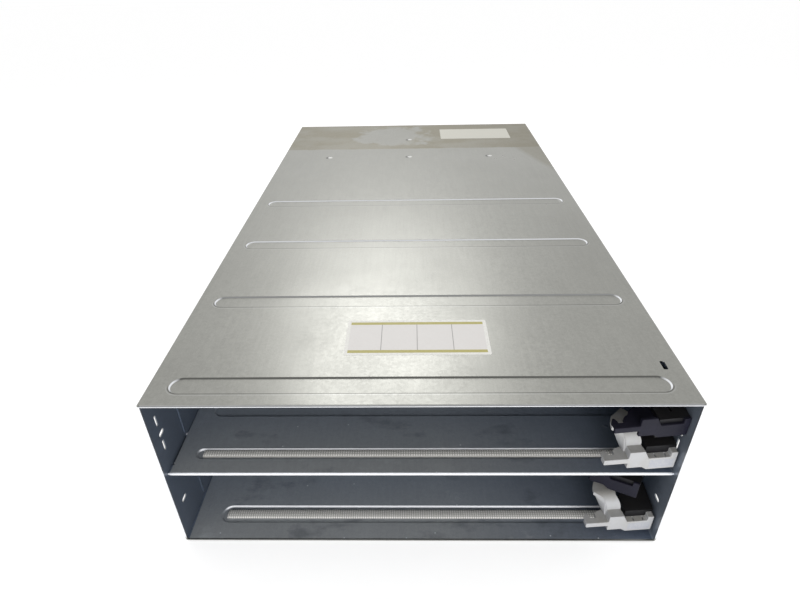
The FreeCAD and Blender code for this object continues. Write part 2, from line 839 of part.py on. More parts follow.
def jaw_plate(rise, back_edge):
    """Level plate of the jaw with two fingers, closed on the right by the given back edge."""
    near = -bar_front + edge_round
    root = -bar_front + jaw_root
    tips = root + jaw_reach
    left = lip_end + edge_round
    gap_left = left + finger_width
    gap_right = gap_left + finger_gap
    outline = [
        (left, near),
        (left, root + finger_tip),
        (left + finger_width / 2, tips),
        (gap_left, root + finger_tip),
        (gap_left, root),
        (gap_right, root),
        (gap_right, tips - finger_tip),
        (gap_right + finger_tip, tips),
    ]
    outline = outline + back_edge + [(back_edge[-1][0], near)]
    top = lip_levels[1] + rise
    plate = prism([vec(x, y, top - jaw_sheet) for x, y in outline], vec(0, 0, jaw_sheet))
    rounded = [e for e in edges_along(plate, vec(0, 0, 1)) if e.Vertexes[0].Y > root - edge_round]
    rounded = [e for e in rounded if e.Vertexes[0].X < gap_right + finger_tip + edge_round]
    return plate.makeFillet(jaw_round, rounded)


def tower_profile(shift_y, shift_z):
    """Points of the tower's front line from the block's top to the hood, moved by a shift."""
    foot = -bar_front + tower_ledge
    low = block_levels[1]
    rise = hook_top - low
    line = [
        (foot, low),
        (foot + tower_bow, low + rise / 2),
        (foot + tower_lean, hook_top - tower_bow),
        (foot + tower_run, hook_top),
    ]
    return [vec(0, y + shift_y, z + shift_z) for y, z in line]


def spline_through(points):
    curve = Part.BSplineCurve()
    curve.interpolate(points)
    return curve.toShape()


def tower_band():
    """Sheet that rises from the block, curves back and runs level, wide enough for every part."""
    outer = tower_profile(0.0, 0.0)
    inner = tower_profile(tower_sheet, -tower_sheet)
    far_y = -bar_front + tower_ledge + hood_reach
    far_top = vec(0, far_y, hook_top)
    far_under = vec(0, far_y, hook_top - tower_sheet)
    foot_front = outer[0] - vec(0, 0, tower_sheet)
    edges = [
        Part.LineSegment(foot_front, outer[0]).toShape(),
        spline_through(outer),
        Part.LineSegment(outer[-1], far_top).toShape(),
        Part.LineSegment(far_top, far_under).toShape(),
        Part.LineSegment(far_under, inner[-1]).toShape(),
        spline_through(inner),
        Part.LineSegment(inner[0], foot_front).toShape(),
    ]
    width = 2 * (block_right - block_left) + wing_spread
    band = Part.Face(Part.Wire(edges)).extrude(vec(width, 0, 0))
    band.translate(vec(block_left - wing_spread - tower_sheet, 0, 0))
    return band


def tower_plan():
    """Plan of the tower and its hood, whose left side spreads past the block."""
    foot = -bar_front + tower_ledge
    head = foot + tower_lean
    left = block_left - wing_spread
    z = block_levels[0]
    corners = [
        vec(block_right - tower_shift - tower_taper, head, z),
        vec(block_right, foot - 1, z),
        vec(block_left, foot - 1, z),
        vec(block_left - tower_shift, head - tower_bow, z),
        vec(left, head + wing_slant, z),
    ]
    outer_far = vec(left + wing_spread / 3, head + hood_reach * 0.45, z)
    tip = vec(block_left + finger_gap, head + hood_reach * 0.75, z)
    far_right = vec(hood_right, head + hood_reach * 0.55, z)
    outer_middle = vec(left + edge_round, head + hood_reach * 0.25, z)
    edges = []
    for start, end in zip(corners, corners[1:]):
        edges.append(Part.LineSegment(start, end).toShape())
    edges.append(Part.Arc(corners[-1], outer_middle, outer_far).toShape())
    edges.append(Part.LineSegment(outer_far, tip).toShape())
    edges.append(Part.LineSegment(tip, far_right).toShape())
    edges.append(Part.LineSegment(far_right, corners[0]).toShape())
    return Part.Face(Part.Wire(edges)).extrude(vec(0, 0, hook_top - z + 1))


def hook_wing():
    """Flared wall on the tower's left side, from the jaw up to the hood's near edge."""
    foot = -bar_front + tower_ledge
    head = foot + tower_lean
    left = block_left - wing_spread
    inner = block_left + tower_sheet / 2
    outer = inner - tower_sheet
    lower = [
        (outer, foot + wing_inset),
        (inner, foot + wing_inset),
        (inner, foot + wing_depth),
        (outer, foot + wing_depth),
    ]
    upper = [
        (block_left - tower_shift + wing_inset, head + tower_bow / 2),
        (block_left - tower_shift + tower_sheet, head + tower_bow),
        (left + tower_sheet, head + wing_slant + tower_sheet / 2),
        (left + wing_inset, head + wing_slant + wing_inset),
    ]
    low = lip_levels[1] - jaw_sheet / 2
    bend = (block_levels[1] + hook_top) / 2
    high = hook_top - tower_sheet / 2
    share = (bend - low) / (high - low)
    middle = [(a + (c - a) * share, b + (d - b) * share) for (a, b), (c, d) in zip(lower, upper)]
    middle[:2] = [(x, foot + tower_bow + wing_inset) for x, y in middle[:2]]
    wires = []
    for corners, z in ((lower, low), (middle, bend), (upper, high)):
        points = [vec(x, y, z) for x, y in corners]
        wires.append(Part.makePolygon(points + points[:1]))
    return Part.makeLoft(wires, True, True)


def bar_slits():
    """Two narrow slits in the top of the hook arm's bar."""
    top = bar_levels[1]
    y0 = -bar_front + slit_width
    y1 = -bar_front + hook_front_depth - edge_round
    cutters = []
    for inset in slit_insets:
        x = arm_end - post_width - inset + slit_depth
        cutters.append(block(x - slit_width / 2, x + slit_width / 2, y0, y1, top - slit_depth, top + 1))
    return cutters


def make_hook_front():
    """Light arm: a deep face with its jaw, and the tower with wing and hood above the block."""
    ledge_back = -bar_front + tower_ledge + tower_sheet
    ledge = block(block_left, block_right, -bar_front + hook_front_depth - 1, ledge_back, *block_levels)
    ledge = ledge.makeFillet(corner_round, edges_along(ledge, vec(0, 1, 0)))
    root = -bar_front + jaw_root
    back_edge = [(block_left + 1, root + jaw_reach + finger_tip)]
    pieces = [make_face(hook_front_depth, 0.0), ledge, jaw_plate(0.0, back_edge)]
    pieces = pieces + [tower_band().common(tower_plan()), hook_wing()]
    return fused(pieces).cut(bar_slits())


def make_latch_front():
    """Dark arm: a thin face whose jaw runs on as a level web to its carrier."""
    root = -bar_front + jaw_root
    tips = root + jaw_reach
    finger_end = lip_end + edge_round + finger_width + finger_gap + finger_tip
    back_edge = [
        (finger_end + web_step, tips + web_step / 2),
        (finger_end + 2 * web_step, tips + 2 * web_step),
        (block_right - web_step, root + web_reach),
        (carrier_left - carrier_gap, root + web_reach),
    ]
    return fused([make_face(latch_front_depth, latch_rise), jaw_plate(latch_rise, back_edge)])


def carrier_outline(depth, inset):
    """Plan of a carrier behind a face of the given depth, pulled in by inset on every side."""
    front_y = -bar_front + depth + carrier_gap + inset
    right_x = hub_radius - inset
    near = wall_side(right_x, -hub_radius)
    far_x, far_y = wall_side(right_x, -bar_front + depth + carrier_gap)
    slope = (near[0] - far_x) / (near[1] - far_y)
    corner_x = far_x + (front_y - far_y) * slope
    left_x = carrier_left + inset
    return [
        (corner_x, front_y),
        near,
        (-hub_radius + inset, -hub_radius + 1),
        (left_x, -hub_radius * 5 - inset),
        (left_x, front_y),
    ]


def make_carrier(hub_span, depth):
    """Moulded pivot arm: a hub, a top plate and a skirt with ribs, open underneath."""
    low, high = hub_span
    plan = [vec(x, y, low) for x, y in carrier_outline(depth, 0.0)]
    outer = prism(plan, vec(0, 0, high - low))
    hollow_plan = [vec(x, y, low) for x, y in carrier_outline(depth, carrier_sheet)]
    hollow = prism(hollow_plan, vec(0, 0, high - low - carrier_sheet))
    shell = outer.cut(hollow)
    middle = -bar_front / 2
    rib = block(carrier_left, 0, middle - carrier_sheet / 2, middle + carrier_sheet / 2, low, high)
    rib = rib.common(outer)
    hub = rod(hub_radius, vec(0, 0, low), vec(0, 0, high))
    bore = rod(pivot_pin_radius + pivot_clearance, vec(0, 0, low - 1), vec(0, 0, high + 1))
    return fused([shell, rib, hub]).cut(bore)


def make_latch_carrier():
    """Carrier of the latch arm, with a narrow slot in its top plate."""
    carrier = make_carrier(latch_hub, latch_front_depth)
    high = latch_hub[1]
    x, y = wall_side(*carrier_slot_place)
    half_width = carrier_slot_width / 2
    half_length = carrier_slot_length / 2
    under = high - carrier_sheet - 1
    slot = block(x - half_width, x + half_width, y - half_length, y + half_length, under, high + 1)
    return carrier.cut(slot)


def placed_arm(shape, bay, swing):
    """Turn an arm from the bar's frame to where it stands in its bay."""
    turned = shape.copy()
    turned.rotate(vec(0, 0, 0), vec(0, 0, 1), bar_angle - swing)
    turned.translate(vec(pivot_x, pivot_y, bay_floors[bay]))
    return turned


def make_label(size, x, y):
    length, width = size
    face = body_height + label_sheet
    plate = block(x - length / 2, x + length / 2, y - width / 2, y + width / 2, body_height, face)
    return plate.makeFillet(label_corner_radius, edges_along(plate, vec(0, 0, 1)))


def shell_nodes():
    shelf_centre = front + shelf_seal_bead_centre
    floor_centre = front + floor_bead_first
    shelf_strip = make_seal_strip(shelf_seal_length, shelf_seal_width, shelf_centre, shelf_level)
    floor_strip = make_seal_strip(floor_seal_length, floor_seal_width, floor_centre, floor_top)
    low_guide = make_right_guide(floor_top + bend_radius, shelf_level, right_guide_setback, True)
    low_left = make_right_guide(floor_top + bend_radius, shelf_level, left_guide_setback, True)
    high_guide = make_right_guide(shelf_level + sheet_gap, wall_top - sheet_gap, right_guide_setback, False)
    high_left = make_right_guide(shelf_level + sheet_gap, wall_top - sheet_gap, left_guide_setback, False)
    return {
        "base_tray": make_base_tray(),
        "top_cover": make_top_cover(),
        "mid_shelf": make_mid_shelf(),
        "shelf_contact_strip": shelf_strip,
        "floor_contact_strip": floor_strip,
        "lower_right_guide": low_guide,
        "lower_left_guide": mirrored(low_left),
        "upper_right_guide": high_guide,
        "upper_left_guide": mirrored(high_left),
        "cover_rivets": make_cover_rivets(),
        "cover_screws": make_cover_screws(),
        "shelf_rivets": make_shelf_rivets(),
        "front_label": make_label(front_label_size, front_label_centre[0], front + front_label_centre[1]),
        "rear_label": make_label(rear_label_size, body_width / 2 - rear_label_centre[0],
                                 rear - rear_label_centre[1]),
    }


def midplane_nodes():
    places = connector_places()
    front_reach = board_front - bulkhead_front + connector_reach
    return {
        "midplane_bulkhead": make_bulkhead(),
        "midplane_board": make_midplane_board(),
        "lower_board_connectors": make_connectors(places[:2], board_front, -front_reach),
        "upper_board_connectors": make_connectors(places[2:], board_front, -front_reach),
        "rear_board_connectors": make_connectors(places, board_back, connector_reach),
        "lower_guide_pins": make_guide_pins(bay_floors["lower"]),
        "upper_guide_pins": make_guide_pins(bay_floors["upper"]),
        "board_spacers": make_board_spacers(),
        "board_screws": make_board_screws(),
        "rear_divider": make_rear_divider(),
        "rear_left_shelf": make_rear_shelf(-wall_inner, divider_x),
        "rear_right_shelf": make_rear_shelf(divider_x + divider_sheet, wall_inner),
    }


def arm_nodes():
    nodes = {"hinge_rivets": make_hinge_rivets()}
    for bay, level in bay_floors.items():
        nodes[bay + "_hinge_bracket"] = make_hinge_bracket(level)
        nodes[bay + "_pivot_pin"] = make_pivot_pin(level)
        hook_swing = rest_swing[bay + "_hook"]
        latch_swing = rest_swing[bay + "_latch"]
        nodes[bay + "_hook_arm_front"] = placed_arm(make_hook_front(), bay, hook_swing)
        hook_carrier = make_carrier(hook_hub, hook_front_depth)
        nodes[bay + "_hook_arm_carrier"] = placed_arm(hook_carrier, bay, hook_swing)
        nodes[bay + "_latch_arm_front"] = placed_arm(make_latch_front(), bay, latch_swing)
        nodes[bay + "_latch_arm_carrier"] = placed_arm(make_latch_carrier(), bay, latch_swing)
    return nodes


all_nodes = {}
all_nodes.update(shell_nodes())
all_nodes.update(midplane_nodes())
all_nodes.update(arm_nodes())
for name, shape in all_nodes.items():
    print(name, "solids", len(shape.Solids), "valid", shape.isValid(), "volume", round(shape.Volume, 1))
    shape.exportStep("parts/" + name + ".step")
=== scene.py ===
import functools
import math

import bmesh
import bpy
from bpy.props import FloatProperty, FloatVectorProperty, PointerProperty
from mathutils import Matrix, Vector


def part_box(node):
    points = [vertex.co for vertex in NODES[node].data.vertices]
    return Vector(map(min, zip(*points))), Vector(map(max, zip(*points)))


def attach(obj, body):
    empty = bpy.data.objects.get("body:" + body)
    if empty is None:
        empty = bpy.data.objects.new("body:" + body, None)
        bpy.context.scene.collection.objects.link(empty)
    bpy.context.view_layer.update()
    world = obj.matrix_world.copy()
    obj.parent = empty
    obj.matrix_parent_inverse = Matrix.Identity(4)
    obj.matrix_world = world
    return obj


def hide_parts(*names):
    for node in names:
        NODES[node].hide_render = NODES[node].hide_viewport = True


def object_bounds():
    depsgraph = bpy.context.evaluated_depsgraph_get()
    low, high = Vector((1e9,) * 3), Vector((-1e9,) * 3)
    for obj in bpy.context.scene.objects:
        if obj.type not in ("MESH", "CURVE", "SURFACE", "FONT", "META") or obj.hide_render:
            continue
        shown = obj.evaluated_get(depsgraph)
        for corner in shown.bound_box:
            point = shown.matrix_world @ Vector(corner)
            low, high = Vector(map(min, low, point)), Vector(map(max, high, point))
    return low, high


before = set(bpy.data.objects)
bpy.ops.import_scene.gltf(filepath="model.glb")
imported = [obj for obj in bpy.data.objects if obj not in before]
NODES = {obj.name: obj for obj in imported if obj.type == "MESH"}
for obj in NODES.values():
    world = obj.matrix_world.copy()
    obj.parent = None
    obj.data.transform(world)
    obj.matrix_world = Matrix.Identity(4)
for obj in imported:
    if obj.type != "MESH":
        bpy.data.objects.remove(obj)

bl_info = {
    "name": "Controller chassis looks",
    "version": (1, 1, 0),
    "blender": (4, 5, 0),
    "location": "3D View > Sidebar > Chassis",
    "description": "Finishes, contact strips and stickers of an empty sheet-steel controller chassis",
    "category": "Object",
}

MM = 0.001
CAD_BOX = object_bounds()

# Outer faces of the chassis and upper face of its shelf, and the floor of each bay
FRONT = CAD_BOX[0].y
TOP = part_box("top_cover")[1].z
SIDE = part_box("base_tray")[1].x
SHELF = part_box("mid_shelf")[1].z
BAY_FLOORS = {"lower": 2.5 * MM, "upper": SHELF}

# Turn of each hook arm's face about its pin at rest, where the upper arm is closed a little further
HOOK_TURN = {"lower": math.radians(4.4), "upper": math.radians(5.4)}

# Pressed beads of the cover, whose first centre line is measured from the front edge, and the places of
# the rivets in its face, in millimetres
BEAD_DEPTH = 1.3 * MM
BEAD_FIRST = 24.5 * MM
BEAD_PITCH = 127.0 * MM
BEAD_HALF_WIDTH = 10.0 * MM
BEAD_HALF_LENGTH = 205.0 * MM
RIVETS = [(-142.0, 204.0), (-7.0, 204.0), (128.0, 204.0), (-7.0, 302.0)]

# Sockets of a Mix node for colours: its share, the colours under and over, and its result
SHARE, UNDER, OVER, MIXED = 0, 6, 7, 2


def linear(code):
    """Linear colour, with its alpha, of an sRGB hex code."""
    parts = [int(code[i:i + 2], 16) / 255 for i in (0, 2, 4)]
    return *(p / 12.92 if p <= 0.04045 else ((p + 0.055) / 1.055) ** 2.4 for p in parts), 1.0


def colour(code, name, description):
    """A colour property whose default is given as an sRGB hex code."""
    return FloatVectorProperty(name=name, description=description, default=linear(code),
                               size=4, min=0.0, max=1.0, subtype="COLOR")


def length(value, name, description):
    """A length property whose default is given in millimetres."""
    return FloatProperty(name=name, description=description, default=value * MM, min=0.0, unit="LENGTH")


class FinishSettings(bpy.types.PropertyGroup):
    """Colours of the finishes"""
    zinc: colour("93938E", "Zinc", "Colour of the zinc-coated sheets")
    # Painted shade and reflection: the three inner colours stand in for the blue-grey light inside the bays,
    # painted paler near the mouths and darker towards the hinge side
    inner: colour("8E96A1", "Inner zinc", "Colour of the coat's blue-grey bloom inside the bays")
    inner_front: colour("95989A", "Front inner zinc", "Colour of the same coat near the bays' mouths")
    inner_deep: colour("566172", "Deep inner zinc", "Colour of the same bloom towards the hinge side")
    # Painted highlight: this colour is painted on the folded front edges, the front-facing flanks of the
    # bays' beads, and the ends and near sides of the cover's beads
    edge: colour("F2F4F8", "Cut edges", "Colour of the folded front edges, rubbed bright by modules")
    stain: colour("7C7767", "Stain", "Colour of the dull band across the rear of the cover")
    # Painted shade: this colour is painted on the flanks and near sides of the cover's beads and beside its
    # rivets
    painted_shade: colour("4A4A48", "Grime", "Colour of the dirt along the cover's beads and rivets")
    oil: colour("3E434B", "Oil", "Colour of old oily finger marks inside the bays")
    dust: colour("C8CDD2", "Dust", "Colour of packing dust and dry scuffs inside the bays")
    steel: colour("ECECE9", "Bright steel", "Colour of rivets, screws and pins")
    scratched: colour("A6A6A4", "Scratched steel", "Colour of the fine scratches in the same steel")
    light_plastic: colour("AEAFB1", "Light plastic", "Colour of the hook arms")
    light_worn: colour("A19F99", "Worn light plastic", "Colour of the hook arms where they were handled")
    dark_plastic: colour("0B0B1A", "Dark plastic", "Colour of the latch arms")
    dark_worn: colour("1B1A29", "Worn dark plastic", "Colour of the latch arms where they were handled")
    black_plastic: colour("0F0F12", "Black plastic", "Colour of the carriers and hinge brackets")
    black_worn: colour("1B1B1F", "Worn black plastic", "Colour of the carriers where they were handled")
    # Partly settled dust and partly painted shade on the arms' level faces
    level_dust_and_shade: colour("6E695E", "Settled dust", "Colour of the dust on level faces of the arms")
    cloth_light: colour("E6E5E1", "Cloth threads", "Colour of the metallised threads that lie on top")
    cloth_dark: colour("9A9995", "Cloth gaps", "Colour between the threads")
    board: colour("1F4A33", "Board", "Colour of the solder mask")
    board_track: colour("3B6B4E", "Board tracks", "Colour of the solder mask over copper")
    connector: colour("202124", "Connector", "Colour of the connector housings")
    connector_worn: colour("2C2D31", "Worn connector", "Colour of the housings where they were rubbed")
    film: colour("DEDDD8", "Label film", "Colour of the front label's film")
    film_speck: colour("C3C2BC", "Film fleck", "Colour of the faint flecks in the films")
    film_panel: colour("D2CFCC", "Label panels", "Colour of the plain panels on the front label")
    film_band: colour("A79F5C", "Label bands", "Colour of the two plain bands on the front label")
    film_line: colour("5C5A58", "Label lines", "Colour of the thin lines between the panels")
    old_film: colour("BFBDB2", "Rear label", "Colour of the bare rear label, yellowed a little")
    sticker: colour("A3A5AD", "Sticker", "Colour of the bare stickers on the hook arms")
    floor_light: colour("E6E6E6", "Floor", "Colour of the pale floor")
    floor_dark: colour("E2E2E2", "Floor clouds", "Colour of the faint clouds in the floor")


class SheetSettings(bpy.types.PropertyGroup):
    """Pattern sizes of the zinc sheets"""
    spangle: length(2.6, "Spangle", "Width of one zinc crystal")
    roll_width: length(2.4, "Rolling streak width", "Width of a streak that the rolls left")
    roll_length: length(40.0, "Rolling streak length", "Length of a streak that the rolls left")
    grain: length(1.1, "Grain", "Size of the coat's finest grain, drawn as coarse as it needs to show")
    cloud: length(110.0, "Clouds", "Size of the dull and bright clouds in the coat")
    smudge: length(60.0, "Smudges", "Size of the finger marks inside the bays")
    ragged: length(38.0, "Ragged edge", "Size of the tongues along the dull band")
    dust: length(30.0, "Dust spacing", "Spacing of the specks of packing dust")
    stain_start: length(647.0, "Stain start", "Distance of the dull band from the front edge")


class StripSettings(bpy.types.PropertyGroup):
    """Sizes of the contact strips and their cloth"""
    thread: length(2.2, "Thread pitch", "Spacing of the cloth's threads, drawn as coarse as it needs to show")
    fibre: length(0.7, "Fibre", "Size of the loose fibres on the cloth")
    rib: length(0.22, "Rib height", "How far the wrapped cloth stands up between two stitches")
    crown: length(0.35, "Crown", "How much the foam lifts the middle of a strip")


class StickerSettings(bpy.types.PropertyGroup):
    """Sizes and places of the bare stickers"""
    size: length(21.0, "Length", "Length of a sticker on a hook arm")
    width: length(9.0, "Width", "Width of a sticker on a hook arm")
    film: length(0.1, "Film", "Thickness of a sticker")
    corner: length(0.8, "Corner", "Radius of a sticker's corners")
    across: FloatProperty(name="Across", description="Place along the arm, measured from its pivot",
                          default=-14.2 * MM, unit="LENGTH")
    face: FloatProperty(name="Face", description="Where the arm's face lies, measured from its pivot",
                        default=-40.2 * MM, unit="LENGTH")
    rise: length(12.45, "Rise", "Height of a sticker's middle above the bay's floor")


class StageSettings(bpy.types.PropertyGroup):
    """Camera, lamps, world and floor"""
    lens: FloatProperty(name="Lens", description="Focal length on a 36 mm wide sensor",
                        default=24.89, unit="CAMERA")
    place: FloatVectorProperty(name="Camera", description="Where the camera stands", size=3, unit="LENGTH",
                               default=(-3.792 * MM, -717.121 * MM, 475.127 * MM))
    yaw: FloatProperty(name="Yaw", description="Turn of the camera to the right", subtype="ANGLE",
                       default=math.radians(-1.5578))
    pitch: FloatProperty(name="Pitch", description="Tilt of the camera downwards", subtype="ANGLE",
                         default=math.radians(32.596))
    roll: FloatProperty(name="Roll", description="Turn of the camera about its line of sight",
                        subtype="ANGLE", default=math.radians(1.2735))
    ceiling_power: FloatProperty(name="Ceiling lamp", description="Power of the soft lamp above the rear",
                                 default=4.9, unit="POWER")
    front_power: FloatProperty(name="Front lamp", description="Power of the soft lamp beside the camera",
                               default=16.0, unit="POWER")
    world: FloatProperty(name="World", description="Strength of the plain light from all round",
                         default=0.75, min=0.0)
    floor_reach: FloatProperty(name="Floor reach", description="Half of the floor's width",
                               default=6.0, unit="LENGTH")


class ChassisSettings(bpy.types.PropertyGroup):
    """All settings of the chassis's looks"""
    finish: PointerProperty(type=FinishSettings, name="Finishes", description="Colours of the finishes")
    sheet: PointerProperty(type=SheetSettings, name="Sheets", description="Pattern sizes of the zinc sheets")
    strip: PointerProperty(type=StripSettings, name="Strips", description="Sizes of the contact strips")
    sticker: PointerProperty(type=StickerSettings, name="Stickers", description="Sizes of the bare stickers")
    stage: PointerProperty(type=StageSettings, name="Stage", description="Camera, lamps and world")


def new_tree(name):
    """A new material and its node tree, emptied."""
    made = bpy.data.materials.new(name)
    made.use_nodes = True
    made.node_tree.nodes.clear()
    return made, made.node_tree


def add(tree, kind, inputs=(), output=0, **settings):
    """Add one shader node, set its fields, and fill its sockets, by name or in order, with values or with
    other nodes' outputs. Gives back one of its outputs."""
    made = tree.nodes.new("ShaderNode" + kind)
    for field, value in settings.items():
        setattr(made, field, value)
    for socket, value in inputs.items() if isinstance(inputs, dict) else enumerate(inputs):
        if isinstance(value, bpy.types.NodeSocket):
            tree.links.new(value, made.inputs[socket])
        else:
            made.inputs[socket].default_value = value
    return made.outputs[output] if made.outputs else None


def region(tree, *limits):
    """Share of the object where every limit holds. A limit is a share from 0 to 1, or a value with the two
    places between which the share changes and the share at each of them."""
    held = 1.0
    for limit in limits:
        share = add(tree, "MapRange", limit) if isinstance(limit, tuple) else limit
        held = add(tree, "Math", (held, share), operation="MULTIPLY")
    return held


def dress(material, *names):
    """Give one material to every slot of the named frame nodes."""
    for name in names:
        node = NODES[name]
        if not node.material_slots:
            node.data.materials.append(material)
        for slot in node.material_slots:
            slot.material = material


def finish_piece(mesh, name, material, body):
    """Turn a bmesh into a piece of the scene that rides on a body."""
    bmesh.ops.recalc_face_normals(mesh, faces=mesh.faces)
    data = bpy.data.meshes.new(name)
    mesh.to_mesh(data)
    mesh.free()
    data.materials.append(material)
    piece = bpy.data.objects.new(name, data)
    bpy.context.scene.collection.objects.link(piece)
    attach(piece, body)
    return piece


def finger_marks(tree, sheet, spot, where):
    """Shares of old oily finger marks and of dry scuffs in a region."""
    node = functools.partial(add, tree)
    reach = 1 / sheet.smudge
    oil_place = node("Mapping", {"Vector": spot, "Location": (3.1, 0.4, 0.0),
                                 "Scale": (0.8 * reach, 1.4 * reach, reach)})
    oil = node("TexNoise", {"Vector": oil_place, "Scale": 1.0, "Detail": 6.0, "Roughness": 0.62})
    scuff_place = node("Mapping", {"Vector": spot, "Location": (7.7, 1.3, 0.0),
                                   "Scale": (reach, 1.8 * reach, reach)})
    scuff = node("TexNoise", {"Vector": scuff_place, "Scale": 1.0, "Detail": 8.0, "Roughness": 0.7})
    return region(tree, (oil, 0.57, 0.66, 0, 0.4), where), region(tree, (scuff, 0.60, 0.72, 0, 0.3), where)


def bay_shading_and_marks(tree, looks, spot, lean, oil, scuff):
    """Colour of the coat inside the bays, a blue-grey painted shade and reflection. It is painted paler near
    their mouths as painted light, and darker towards the hinge side and on the left wall as painted shade. It
    has light scuffs on the right wall near its front edge, oily marks, and painted highlights on the
    front-facing flanks of the beads."""
    node = functools.partial(add, tree)
    x, y, z = node("SeparateXYZ", (spot,)).node.outputs
    lean_y = node("SeparateXYZ", (lean,), "Y")
    off_x = node("Math", (x,), operation="ABSOLUTE")
    wall = node("MapRange", (off_x, SIDE - 3.0 * MM, SIDE - 2.6 * MM, 0, 1))
    # Painted light near the bays' mouths, and painted shade towards the hinge side and on the left wall
    near_mouth = node("MapRange", (y, FRONT + 15 * MM, FRONT + 75 * MM, 0.9, 0))
    hinge_side = node("MapRange", (x, 20 * MM, 215 * MM, 0, 1))
    left_wall = region(tree, wall, (x, -1.0 * MM, 0.0, 0.9, 0))
    right_wall = region(tree, wall, (x, 0.0, 1.0 * MM, 0, 0.2), (y, FRONT + 8 * MM, FRONT + 40 * MM, 1, 0))

    # The front-facing flanks of the shelf's and floor's beads get a painted highlight
    rubbed = 0.0
    for level in BAY_FLOORS.values():
        low, high = level - BEAD_DEPTH + 0.05 * MM, level - 0.12 * MM
        flank = region(tree, (lean_y, -0.55, -0.3, 1, 0), (z, low, low + 0.1 * MM, 0, 1),
                       (z, high, high + 0.08 * MM, 1, 0))
        rubbed = node("Math", (rubbed, flank), operation="MAXIMUM")

    shading = looks.inner
    # The inner colours are painted shade and light, the oil, scuffs and right-wall dust are real marks, and
    # the front-facing bead flanks get a painted highlight
    for share, coat in ((near_mouth, looks.inner_front), (hinge_side, looks.inner_deep),
                        (left_wall, looks.inner_deep), (right_wall, looks.dust),
                        (oil, looks.oil), (scuff, looks.dust), (rubbed, looks.edge)):
        shading = node("Mix", {SHARE: share, UNDER: shading, OVER: coat}, MIXED, data_type="RGBA")
    return shading


def dull_band(tree, sheet, spot, ragged):
    """Share of the dull band across the rear of the cover. It has a ragged front edge and a wiped patch,
    and tapers off into a smear along the right edge."""
    node = functools.partial(add, tree)
    x, y = node("SeparateXYZ", (spot,)).node.outputs[:2]
    start = FRONT + sheet.stain_start
    tongues = node("MapRange", (ragged, 0.3, 0.7, -1.5 * MM, 1.5 * MM))
    front_edge = node("Math", (y, tongues), operation="ADD")

    # The patch is an oval, so its distance is taken with both of its reaches made 1
    patch_x, patch_y, reach_x, reach_y = -37.5 * MM, 326.7 * MM, 62.5 * MM, 66.7 * MM
    patch_place = node("Mapping", {"Vector": spot, "Location": (-patch_x / reach_x, -patch_y / reach_y, 0.0),
                                   "Scale": (1 / reach_x, 1 / reach_y, 0.0)})
    off_patch = node("VectorMath", (patch_place,), "Value", operation="LENGTH")
    off_patch = node("Math", (off_patch, node("MapRange", (ragged, 0.3, 0.7, -0.5, 0.5))), operation="ADD")

    thin_size = 67 * MM
    thin_place = node("Mapping", {"Vector": spot, "Location": (0.7, 2.2, 0.0), "Scale": (1.0, 1.4, 1.0)})
    thin = node("TexNoise", {"Vector": thin_place, "Scale": 1 / thin_size, "Detail": 4.0})
    band = region(tree, (front_edge, start - 1 * MM, start + 3 * MM, 0, 1),
                  (off_patch, 0.75, 1.05, 0.12, 1), (thin, 0.4, 0.6, 1, 0.7))
    # The smear's edge leans across the right rear corner
    slope = node("Math", (y, 0.34, x), operation="MULTIPLY_ADD")
    smear = region(tree, (slope, 258 * MM, 270 * MM, 0, 0.6), (y, 100 * MM, 160 * MM, 0, 1))
    return node("Math", (band, smear), operation="MAXIMUM")


